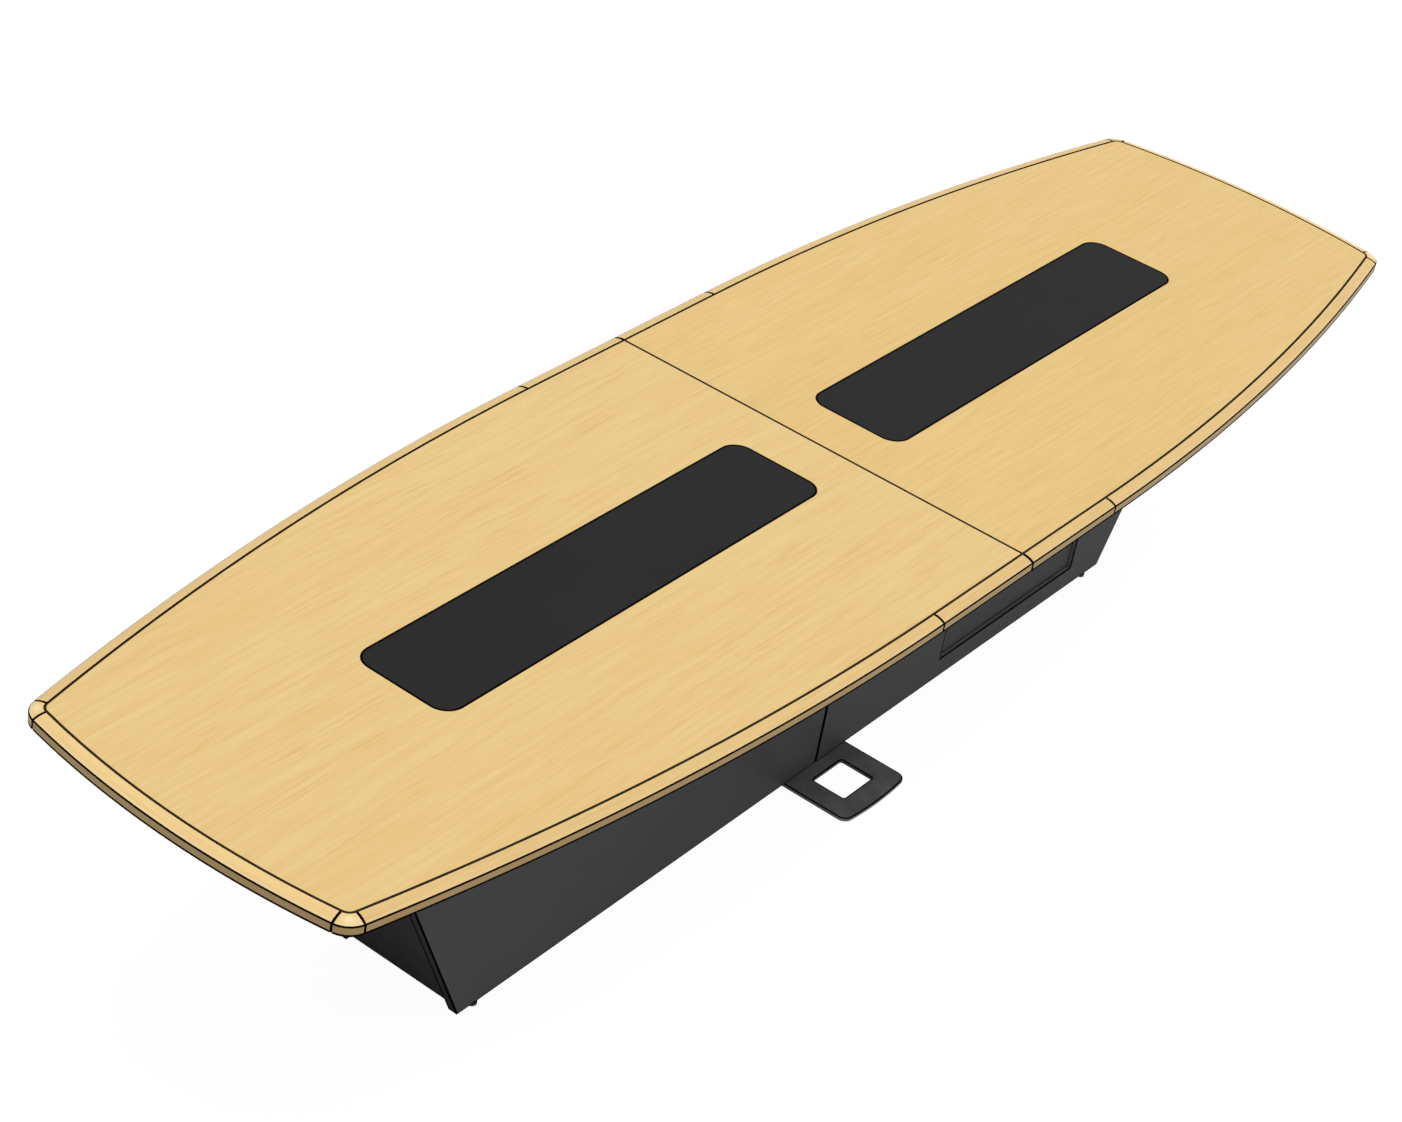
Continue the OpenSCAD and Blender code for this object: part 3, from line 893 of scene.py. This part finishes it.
@dataclass
class Tabletop(Assembly):
    """The two veneered panels, the fourteen pieces of edging and the fixings of the seam."""

    station: float = 0.014
    fewest: int = 6
    end_rings: int = 3
    ease: float = 0.0003
    fall_points: int = 12
    turn_points: int = 4
    inner_line: float = 0.0013
    arris_line: float = 0.0011
    foot_line: float = 0.004
    joint_line: float = 0.0015
    short: float = 0.1
    pieces: int = 14
    grain_start: float = 0.4
    grain_step: float = 1.73

    def profile(self, sunk: Array) -> Array:
        """Closed section of the edging at each station, inner face first.

        The top is a circle of radius edge_round - sunk about (0, -edge_round) up to the width less sunk. The
        arris and the lower edge are rounded by quadratic curves.

        Args:
            sunk: How far each station lies inside the full section, as in a groove.

        Returns:
            Distance from the inner line and height from the top's face, by station and point.
        """
        k = sunk[:, None]
        reach, radius = TOP.edge_width - k, TOP.edge_round - k
        last = np.arcsin((reach - TOP.arris) / radius)
        inner, outer = self.inner_line / TOP.fall_length, 1 - self.arris_line / TOP.fall_length
        phi = last * np.r_[0, np.linspace(inner, outer, self.fall_points), 1]
        fall = np.stack([radius * np.sin(phi), radius * np.cos(phi) - TOP.edge_round], -1)
        corner = np.concatenate([reach, np.sqrt(radius**2 - reach**2) - TOP.edge_round], 1)[:, None, :]
        down = corner - (0, TOP.arris)
        round_over = bend(fall[:, -1:], corner, down, np.linspace(0, 1, self.turn_points + 1)[None, 1:, None])
        foot = np.concatenate([reach, np.full_like(reach, -TOP.thickness)], 1)[:, None, :]
        start, stop = foot + (0, TOP.arris), foot - (TOP.arris, 0)
        under = bend(start, foot, stop, np.linspace(0, 1, self.turn_points)[None, :, None])
        flank = np.concatenate([down - (0, self.arris_line / 2), start + (0, self.foot_line)], 1)
        heel = np.tile(np.array([[[0.0, -TOP.thickness]]]), (len(sunk), 1, 1))
        return np.concatenate([fall, round_over, flank, under, heel], 1)

    def stations(self, length: float, line: float) -> tuple[Array, Array, Array]:
        """Places along a piece: half a groove and a line at both ends, then the full section between them.

        Args:
            length: Length of the piece along its inner line.
            line: Width of the line beside the groove.

        Returns:
            The share of the way along, the distance past that place at right angles to a joint, and how far the
            section is sunk there.
        """
        half, full = TOP.groove_width / 2, TOP.groove_width / 2 + self.ease
        share = np.linspace(0, 1, max(self.fewest, round(length / self.station)))
        gap = np.r_[0, half, full, (full + line) * (1 - 2 * share), -full, -half, 0]
        share = np.r_[np.zeros(self.end_rings), share, np.ones(self.end_rings)]
        sunk = np.zeros(len(share))
        sunk[[0, 1, -2, -1]] = TOP.groove_depth
        return share, gap, sunk

    def kinds(self, rings: int, points: int) -> list[Array]:
        """Kinds of the faces of a piece: dark at its joints and along the edges of its section.

        Args:
            rings: Number of stations.
            points: Points of the section.

        Returns:
            The kinds of the shell's faces and of its two ends.
        """
        strip, point = np.divmod(np.arange((rings - 1) * points), points)
        flank = self.fall_points + 2 + self.turn_points
        foot = range(flank + 1, flank + 1 + self.turn_points)
        lined = np.isin(point, [0, *range(self.fall_points, flank), *foot, points - 1])
        joint = (strip < self.end_rings) | (strip >= rings - 1 - self.end_rings)
        return [np.where(joint | lined, Face.LINED, Face.PLAIN), np.full(2, Face.LINED)]

    def edging(self, name: str, length: float, path: Path, flips: int, seed: float) -> None:
        """Carries the section along one piece.

        The ends of the table and the corners take a lighter copy of the wood with a darker upright face, painted
        light and shade, and a corner gets a painted highlight in its middle.

        Args:
            name: The piece's place, as in the name of the node that it replaces.
            length: Length of the piece along its inner line.
            path: Turns shares of the way, distances from a joint and distances from the inner line into X and Y.
            flips: How many times the piece is mirrored from the far quarter on the back side.
            seed: Shift of the grain, so that no two pieces look alike.
        """
        share, gap, sunk = self.stations(length, self.joint_line if "straight" in name else self.ease)
        section = self.profile(sunk)
        plan = path(share[:, None], gap[:, None], section[..., 0])
        rings = np.concatenate([plan, (TOP.height + section[..., 1])[..., None]], -1)
        points, faces = loft(rings, turned=flips % 2 == 1)
        step = np.linalg.norm(np.diff(section, axis=1), axis=-1)
        across = np.concatenate([np.zeros((len(share), 1)), np.cumsum(step, 1)], 1)
        along = np.broadcast_to((share * length + gap + seed)[:, None], across.shape)
        grain = np.stack([along, across], -1).reshape(-1, 2)
        corner = length < self.short
        # Painted highlight on a corner piece, strongest in the middle of its length and of its fall, carried as the
        # mesh's edge weight.
        middle = np.sin(math.pi * share)[:, None] * np.sin(math.pi * np.clip(across / TOP.fall_length, 0, 1))
        surface = Surface(points, faces, grain, (middle * corner).ravel(), self.kinds(*across.shape))
        # The ends and the corners take the copy of the edging with painted light on its fall and painted shade on its
        # upright face.
        finish = PAINTED_LIGHT_EDGING if corner or name.startswith("end") else EDGING
        self.make(
            f"edging_{name}", surface, (finish, GROOVE), "table", "light_wood_edging", f"edge_{name}", smooth=32.0
        )

    def turned(self, centre: Array, radius: float, start: float, stop: float, sign: tuple[int, int]) -> Path:
        """Path about a centre: the angle is start + share of the sweep + asin(distance from the joint / radius).

        Args:
            centre: The centre of the arc, in the far quarter on the back side.
            radius: The arc's outer radius.
            start: The angle at which the piece starts.
            stop: The angle at which it stops.
            sign: Signs of X and Y of the quarter that the piece lies in.

        Returns:
            The path.
        """

        def path(share: Array, gap: Array, out: Array) -> Array:
            """Places the points of each station.

            Args:
                share: Share of the way.
                gap: Distance past that place at right angles to a joint.
                out: Distance from the inner line.

            Returns:
                X and Y of each point.
            """
            r = radius - TOP.edge_width + out
            a = start + (stop - start) * share + np.arcsin(gap / r)
            return np.stack([sign[0] * (centre[0] + r * np.cos(a)), sign[1] * (centre[1] + r * np.sin(a))], -1)

        return path

    def run(self, sign: tuple[int, int]) -> Path:
        """Path of a straight piece: X runs evenly from its outer joint to the seam, and Y is the inner line's.

        Args:
            sign: Signs of X and Y of the quarter that the piece lies in.

        Returns:
            The path.
        """

        def path(share: Array, gap: Array, out: Array) -> Array:
            """X and Y of each point, from the same three arrays as on an arc."""
            x = np.broadcast_to(TOP.straight / 2 * (1 - share) - gap, out.shape)
            return np.stack([sign[0] * x, sign[1] * (TOP.width / 2 - TOP.edge_width + out)], -1)

        return path

    def build(self) -> None:
        """Makes the fourteen pieces of edging and dresses the panels and the seam's fixings."""
        side_meets, end_meets = TOP.meeting(TOP.side_centre), TOP.meeting(TOP.end_centre)
        arcs = {
            "bow": (TOP.side_centre, TOP.side_radius, side_meets, math.pi / 2),
            "corner": (TOP.corner_centre, TOP.corner_radius, end_meets, side_meets),
        }
        seeds = iter(np.arange(self.pieces) * self.grain_step + self.grain_start)
        for end in End:
            name = end.name.lower()
            for side in Side:
                sign = (end.value, side.value)
                flips = int(end is End.NEAR) + int(side is Side.FRONT)
                label = f"{side.name.lower()}_{{}}_{name}"
                self.edging(label.format("straight"), TOP.straight / 2, self.run(sign), flips, next(seeds))
                for kind, (centre, radius, start, stop) in arcs.items():
                    length = (stop - start) * (radius - TOP.edge_width)
                    path = self.turned(centre, radius, start, stop, sign)
                    self.edging(label.format(kind), length, path, flips, next(seeds))
            length = 2 * end_meets * (TOP.end_radius - TOP.edge_width)
            path = self.turned(TOP.end_centre, TOP.end_radius, -end_meets, end_meets, (end.value, 1))
            self.edging(f"end_{name}", length, path, int(end is End.NEAR), next(seeds))
            self.dress(VENEER[end], f"top_panel_{name}")
        self.dress(BARE_WOOD, "seam_dowels")
        self.dress(ZINC, "seam_bolts")


@dataclass
class InsetPanels(Assembly):
    """The two black panels that lift out of the top."""

    rounding: float = 0.0006
    line: float = 0.0036
    corner_points: int = 14

    def build(self) -> None:
        """Makes each panel as a stack of rounded rectangles, with its edges eased and lined.

        A ring's inset d and height z follow the panel from its lower face, round both edges, to its upper face.
        The lined faces are dark: a line round the top's edge, and painted shade on the wall, which stands in the gap
        round the panel.
        """
        e, m, t = self.rounding, self.line, WELL.thickness
        rows = [(m, 0), (e, 0), (0, e), (0, t - e), (e / 3, t - e / 3), (e, t), (m, t)]
        for end in End:
            name = end.name.lower()
            centre = (end.value * (WELL.offset + WELL.length / 2), 0.0)
            rings = []
            for d, z in rows:
                size = (WELL.length - 2 * d, WELL.width - 2 * d, WELL.corner - d)
                ring = rounded(*size, self.corner_points, centre)
                rings.append(np.c_[ring, np.full(len(ring), TOP.height - t + z)])
            points, faces = loft(np.stack(rings))
            # Dark faces: a line round the top's edge and the rounded edges, and painted shade on the wall in the gap.
            lined = np.arange(len(faces[0])) >= len(rings[0])
            kinds = [np.where(lined, Face.LINED, Face.PLAIN), np.full(2, Face.PLAIN)]
            surface = Surface(points, faces, kinds=kinds)
            looks = (BLACK_INSET, ARRIS_AND_SHADE)
            self.make(f"inset_cover_{name}", surface, looks, f"inset_{name}", "black_inset", f"inset_panel_{name}")


@dataclass
class Base(Assembly):
    """The side and end boards of the base, its inner boards, and the cover over the access opening."""

    rounding: float = 0.0008
    line: float = 0.0033
    end_line: float = 0.0025
    # Width of the dark band on a side board's end face beside the recessed end panel: a dark joint line widened into
    # painted shade of the recess.
    joint_line: float = 0.0052
    window_line: float = 0.0042
    rub: float = 0.003

    def slope(self, z: float) -> float:
        """Half length of the side boards at a height."""
        share = (z - TRUNK.clearance) / (TOP.underside - TRUNK.clearance)
        return TRUNK.bottom / 2 + share * (TRUNK.top - TRUNK.bottom) / 2

    def board(
        self, outline: Array, y: tuple[float, float], sign: tuple[int, int], window: Array | None = None,
        grooved: bool = False,
    ) -> Surface:
        """Works out an upright board with eased edges for the far end and the back side, and mirrors it.

        Each ring is the outline drawn in by d at a place y. With a window the rings run over the outer face,
        through the window and back over the inner face, so the shell closes on itself. Half of a shadow groove
        is left out of the outer face where the board meets the seam. The faces between two rings that are both
        marked as edge are lined, and the board is rubbed beside them. On a side board the lined band beside the
        inner face is wider: a dark joint line with painted shade of the recess, where the end face meets the recessed
        end panel.

        Args:
            outline: Its four corners in X and Z, counter-clockwise, the two at the seam first and last.
            y: Its inner and outer face.
            sign: Signs of X and Y of the quarter that it lies in.
            window: The four corners of an opening, or None.
            grooved: Whether half a shadow groove runs along the seam.

        Returns:
            The board.
        """
        e, r, w, (low, high) = self.rounding, self.rub, self.window_line, y
        # inside is the width of the lined band beside the inner face; on the side boards it carries painted shade of
        # the end panel's recess.
        m, inside = (self.line, self.joint_line) if grooved else (self.end_line, self.end_line)
        g, deep = (TOP.groove_width / 2, TOP.groove_depth) if grooved else (0.0, 0.0)
        # Of each ring: how far it is drawn in, its place, 1 for an edge, and how far the groove cuts in.
        around = [(m, low, 0, 0), (e, low, 1, 0), (0, low + e, 1, 0), (0, low + inside, 1, 0)]
        around += [(0, low + inside + r, 0, 0), (0, high - m - r, 0, 0), (0, high - m, 1, 0)]
        around += [(0, high - deep, 1, 0), (0, high - deep, 1, g)] if grooved else []
        around += [(0, high - e, 1, g), (e, high, 1, g), (m, high, 1, g), (m + r, high, 0, g)]
        through = [(-w - r, high, 0, 0), (-w, high, 1, 0), (-e, high, 1, 0), (0, high - e, 1, 0)]
        through += [(0, high - m / 2, 1, 0), (0, high - m, 0, 0), (0, low + m, 0, 0), (0, low + e, 1, 0)]
        through += [(-e, low, 1, 0), (-m, low, 0, 0)]
        rows = [(outline, *row) for row in around]
        if window is not None:
            rows += [(window, *row) for row in through]
        rings = []
        for corners, d, place, _, cut in rows:
            ring = drawn_in(corners, d)
            ring[[0, -1], 0] += cut
            rings.append(np.stack([sign[0] * ring[:, 0], np.full(len(ring), sign[1] * place), ring[:, 1]], 1))
        points, faces = loft(np.stack(rings), closed=window is not None, turned=sign[0] * sign[1] > 0)
        edge = np.array([row[3] for row in rows])
        flat = np.array([row[1] == 0 for row in rows])
        hole = np.arange(len(rows)) >= len(around)
        strip, column = np.divmod(np.arange(len(faces[0])), len(outline))
        wall = (flat & np.roll(flat, -1))[strip]
        kind = np.where(wall & hole[strip], Face.EDGE, np.where(wall & (column == 1), Face.END, Face.PLAIN))
        kind[(edge * np.roll(edge, -1))[strip] == 1] = Face.LINED
        kinds = [kind, *(np.full(len(block), Face.PLAIN) for block in faces[1:])]
        return Surface(points, faces, edge=np.repeat(edge, len(outline)), kinds=kinds)

    def build(self) -> None:
        """Makes the four side boards and the two end boards, and dresses the rest."""
        bottom, top, half = TRUNK.clearance, TOP.underside, TRUNK.width / 2
        inner = half - TRUNK.side
        a, sill, b, head = TRUNK.opening()
        window = np.array([(a, sill), (b, sill), (b, head), (a, head)])
        outline = np.array([(0, bottom), (self.slope(bottom), bottom), (self.slope(top), top), (0, top)])
        low = bottom + TRUNK.end_raise
        depth = TRUNK.end * math.hypot(1, (self.slope(top) - self.slope(bottom)) / (top - bottom))
        start, stop = (self.slope(z) - TRUNK.end_recess for z in (low, top))
        leaf = np.array([(start - depth, low), (start, low), (stop, top), (stop - depth, top)])
        for end in End:
            name = end.name.lower()
            for side in Side:
                node = f"side_{side.name.lower()}_{name}"
                opened = window if end is End.FAR and side is Side.FRONT else None
                board = self.board(outline, (inner, half), (end.value, side.value), opened, grooved=True)
                looks = (CHARCOAL, ARRIS_AND_SHADE, EDGE_BAND, DARK_END)
                self.make(f"board_{node}", board, looks, "table", "charcoal_panel", node, smooth=None)
            node = f"end_panel_{name}"
            board = self.board(leaf, (-inner, inner), (end.value, 1))
            looks = (DARK_END, ARRIS_AND_SHADE, EDGE_BAND, DARK_END)
            self.make(f"board_{node}", board, looks, "table", "charcoal_end", node, smooth=None)
            self.dress(CHARCOAL, f"bulkhead_{name}", f"stretcher_{name}")
            self.dress(BARE_WOOD, f"cleat_front_{name}", f"cleat_back_{name}", f"end_cleat_{name}")
        self.dress(COVER, "access_panel")
        self.dress(CHARCOAL, "stop_frame")
        self.dress(ZINC, "catch_magnets", "catch_plates", "base_bolts", "cleat_screws")


@dataclass
class FootPlate(Assembly):
    """The steel plate under the middle of the base, with its rubber pads."""

    rounding: float = 0.0009
    line: float = 0.0036
    bow_points: int = 24
    corner_points: int = 9
    hole_points: int = 6
    screw_points: int = 24
    pad_points: int = 40
    pad_ease: float = 0.0007

    def outline(self) -> Array:
        """Outline of the plate: two bowed outer edges, four rounded corners and two straight sides.

        Returns:
            Points in order, counter-clockwise. A corner's centre lies where the bow, drawn in by the corner's
            radius, meets the side drawn in by the same.
        """
        centre = TRUNK.width / 2 + FOOT.reach - FOOT.bow
        cx = FOOT.width / 2 - FOOT.corner
        cy = centre + math.sqrt((FOOT.bow - FOOT.corner) ** 2 - cx**2)
        turn = math.atan2(cy - centre, cx)
        right = arc((cx, cy), FOOT.corner, 0, turn, self.corner_points)
        bow = arc((0, centre), FOOT.bow, turn, math.pi - turn, self.bow_points)[1:-1]
        upper = np.concatenate([right, bow, (right * (-1, 1))[::-1]])
        return np.concatenate([upper, -upper])

    def plate(self, outlines: Sequence[Array], low: float) -> Surface:
        """Works out the plate: a rolled band along each outline, and flat faces between the bands.

        Each ring of a band is its outline moved into the steel by d at a height z. The flat faces are triangles
        between the innermost rings, laid out by Blender's own filling of polygons with holes.

        Args:
            outlines: The outer outline and then those of the holes, all counter-clockwise.
            low: Height of the lower face.

        Returns:
            The closed surface, lined along its upper edges, with a painted highlight, a lighter coat, on its outer
            wall.
        """
        e, m, high = self.rounding, self.line, low + FOOT.thickness
        rows = [(m, high), (e, high), (e / 3, high - e / 3), (0, high - e), (0, high - 1.5 * e)]
        above = len(rows) - 1
        rows += [(0, low + e), (e / 3, low + e / 3), (e, low), (m, low)]
        points, faces, kinds, rims, start = [], [], [], [], 0
        for k, outline in enumerate(outlines):
            rings = [np.c_[drawn_in(outline, d if k == 0 else -d), np.full(len(outline), z)] for d, z in rows]
            band = quads(len(rows), len(outline)) + start
            faces.append(band[:, ::-1] if k == 0 else band)
            points += rings
            strip = np.arange(len(band)) // len(outline)
            # The outer wall takes the lighter coat as a painted highlight; the walls of the holes stay plain.
            kinds.append(np.where(strip < above, Face.LINED, Face.EDGE if k == 0 else Face.PLAIN))
            rims.append((rings[0], start + np.arange(len(outline))))
            start += len(rows) * len(outline)
        flat = np.array(tessellate_polygon([[Vector(p) for p in ring] for ring, _ in rims]))
        corners = np.concatenate([ring for ring, _ in rims])[flat]
        turn = np.cross(corners[:, 1] - corners[:, 0], corners[:, 2] - corners[:, 0])[:, 2]
        flat[turn < 0] = flat[turn < 0][:, ::-1]
        faces.append(np.concatenate([numbers for _, numbers in rims])[flat])
        below = np.concatenate([numbers + (len(rows) - 1) * len(numbers) for _, numbers in rims])
        faces.append(below[flat][:, ::-1])
        kinds += [np.full(len(flat), Face.PLAIN)] * 2
        return Surface(np.concatenate(points), faces, kinds=kinds)

    def pads(self, height: float) -> Surface:
        """Works out the eight rubber pads as turned buttons with eased edges.

        Args:
            height: Their height.

        Returns:
            The eight buttons as one surface.
        """
        r, e = FOOT.pad, self.pad_ease
        profile = np.array([(r - e, 0), (r - e / 3, e / 3), (r, e), (r, height - e), (r - e, height)])
        x = FOOT.width / 2 - FOOT.corner
        places = (TRUNK.width / 2 - TRUNK.side / 2, TRUNK.width / 2 + FOOT.reach - FOOT.corner)
        plain = np.zeros(len(profile))
        buttons = [
            lathe(profile, self.pad_points, (end.value * x, side.value * y), plain, plain)
            for end, side in QUARTERS
            for y in places
        ]
        points = np.concatenate([button.points for button in buttons])
        starts = np.arange(len(buttons)) * len(buttons[0].points)
        return Surface(points, [block + start for button, start in zip(buttons, starts) for block in button.faces])

    def build(self) -> None:
        """Makes the plate from its outline and its holes, and the pads under it."""
        low = TRUNK.clearance - FOOT.thickness
        y = TRUNK.width / 2 + FOOT.hole_place + FOOT.hole_width / 2
        hole = (FOOT.hole_length, FOOT.hole_width, FOOT.hole_corner, self.hole_points)
        outlines = [self.outline(), *(rounded(*hole, (0, side.value * y)) for side in Side)]
        for end, side in QUARTERS:
            spot = (end.value * FOOT.screw_spread, side.value * FOOT.screw_place)
            outlines.append(arc(spot, FOOT.screw_head, 0, 2 * math.pi, self.screw_points + 1)[:-1])
        looks = (COATED, ARRIS_AND_SHADE, COATED_HIGHLIGHT)
        self.make("foot_steel", self.plate(outlines, low), looks, "table", "coated_plate", "foot_plate")
        self.make("foot_pads", self.pads(low), (RUBBER,), "table", "rubber_pad", "plate_pads")
        self.dress(ZINC, "plate_screws")


@dataclass
class Glides(Assembly):
    """The four levelling glides, which screw into sleeves in the side boards."""

    foot: float = 0.011
    foot_height: float = 0.007
    toe: float = 0.0025
    bevel: float = 0.0012
    ease: float = 0.0004
    hexagon: float = 0.007
    stem: float = 0.005
    stem_length: float = 0.034
    pitch: float = 0.0015
    rows_in_turn: int = 6
    depth: float = 0.0006
    points: int = 48

    def rows(self) -> tuple[Array, Array, Array]:
        """Rows of the glide from the floor up: rounded foot, hexagon, threaded stem.

        Returns:
            Radius and height, whether a row is a hexagon, and the depth of the thread.
        """
        r, h, c, b, e = self.foot, self.foot_height, TRUNK.clearance, self.bevel, self.ease
        curve = self.toe * np.array([(-1.0, 0.0), (-0.4, 0.12), (-0.08, 0.48), (0.0, 1.0)])
        foot = [*(curve + (r, 0)), (r, h - b), (r - b, h)]
        nut = [(self.hexagon - e, h), (self.hexagon, h + e), (self.hexagon, c - e), (self.hexagon - b / 2, c)]
        top = c + self.stem_length
        z = np.arange(c + e, top - b, self.pitch / self.rows_in_turn)
        thread = np.stack([np.full(len(z), self.stem), z], 1)
        tip = [(self.stem - b / 2, top - b / 2), (self.stem - b, top)]
        profile = np.concatenate([foot, nut, [(self.stem - b / 2, c)], thread, tip])
        sides, depth = np.zeros(len(profile)), np.zeros(len(profile))
        sides[len(foot) : len(foot) + len(nut)] = 1
        depth[len(foot) + len(nut) + 1 : -len(tip)] = self.depth
        return profile, sides, depth

    def build(self) -> None:
        """Makes the four glides and dresses their sleeves."""
        profile, sides, depth = self.rows()
        x, y = TRUNK.bottom / 2 - TRUNK.glide_place, TRUNK.width / 2 - TRUNK.side / 2
        for end, side in QUARTERS:
            name = f"glide_{side.name.lower()}_{end.name.lower()}"
            at = (end.value * x, side.value * y)
            surface = lathe(profile, self.points, at, sides, depth, self.pitch)
            self.make(f"{name}_turned", surface, (GLIDE_BLACK,), name, "glide_black", name, smooth=35.0)
        self.dress(ZINC, "glide_sleeves")


# The studio.


@dataclass
class Studio:
    """Pale floor, soft light from above and the photograph's camera."""

    place: Triple = (-4.693355, -2.738402, 4.032575)
    right: Triple = (0.608805, -0.779128, 0.149387)
    up: Triple = (0.366122, 0.442994, 0.818359)
    focus_pixels: float = 3157.864
    image_pixels: float = 1402.0
    sensor_mm: float = 36.0
    clip: tuple[float, float] = (0.1, 200.0)
    sky: float = 0.34
    sun: float = 0.68
    sun_from: Triple = (0.05, -0.16, 1.0)
    sun_spread: float = 50.0
    floor_tone: float = 0.6
    floor_size: float = 60.0
    floor_depth: float = 0.0002
    glow: float = 1.12
    glow_share: float = 0.86
    shade_middle: tuple[float, float] = (0.035, 0.0)
    shade_fade: tuple[tuple[float, float], ...] = ((1.085, 1.125), (0.1, 0.14))

    def camera(self) -> None:
        """Sets the camera from its place and its two image axes; the lens is focus / image width x sensor width."""
        data = bpy.data.cameras.new("camera")
        data.sensor_width = self.sensor_mm
        data.lens = self.focus_pixels / self.image_pixels * self.sensor_mm
        data.clip_start, data.clip_end = self.clip
        camera = placed("camera", data)
        right, up = Vector(self.right).normalized(), Vector(self.up).normalized()
        turn = Matrix((right, up, right.cross(up))).transposed().to_4x4()
        camera.matrix_world = Matrix.Translation(self.place) @ turn
        bpy.context.scene.camera = camera

    def light(self) -> None:
        """Lights the table with an even sky and one broad lamp, so that a level white face renders as white."""
        world = bpy.data.worlds.new("studio")
        bpy.context.scene.world = world
        bench = Bench(world)
        sky, white = bench.tree.nodes["Background"], bench.node("ShaderNodeBackground")
        for background, strength in ((sky, self.sky), (white, 1.0)):
            bench.plug(background.inputs["Color"], WHITE)
            bench.plug(background.inputs["Strength"], strength)
        bench.show("World Output", bench.seen(), sky, white)
        lamp = bpy.data.lights.new("key", "SUN")
        lamp.angle = math.radians(self.sun_spread)
        direction = Vector(self.sun_from).normalized()
        lamp.energy = self.sun * math.pi / direction.z
        key = placed("key", lamp)
        key.rotation_mode = "QUATERNION"
        key.rotation_quaternion = direction.to_track_quat("Z", "Y")

    def floor(self) -> None:
        """Lays a pale floor that a camera sees as almost white, with a faint shadow.

        Its glow fades out under the base, with the squares of the distances from the middle in X and Y.
        """
        s, z = self.floor_size / 2, -self.floor_depth
        mesh = bpy.data.meshes.new("floor")
        mesh.from_pydata([(-s, -s, z), (s, -s, z), (s, s, z), (-s, s, z)], [], [(0, 1, 2, 3)])
        bench = Bench(bpy.data.materials.new("floor"))
        bench.finish(Base_Color=(self.floor_tone,) * 3 + (1.0,), Roughness=1.0, Specular_IOR_Level=0.0)
        lit = []
        for axis, middle, (dark, clear) in zip("XY", self.shade_middle, self.shade_fade):
            away = bench.part(bench.place(), axis) - middle
            lit.append((away * away).ramp(dark**2, clear**2))
        glow = bench.node("ShaderNodeEmission", None, {"Color": WHITE, "Strength": self.glow})
        share = bench.seen() * lit[0].or_more(lit[1]) * self.glow_share
        bench.show("Material Output", share, bench.shader, glow)
        mesh.materials.append(bench.owner)
        plane = placed("floor", mesh)

    def build(self) -> None:
        """Sets the view, the camera, the light and the floor."""
        bpy.context.scene.view_settings.view_transform = "Standard"
        self.camera()
        self.light()
        self.floor()
        log.info("studio ready")


def main() -> None:
    logging.basicConfig(level=logging.INFO, format="%(name)s: %(message)s")
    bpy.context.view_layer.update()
    shelf: dict[str, bpy.types.Material] = {}
    for part in (Tabletop, InsetPanels, Base, FootPlate, Glides):
        part(shelf).build()
        log.info("built %s", part.__name__)
    Studio().build()


if __name__ == "__main__":
    main()
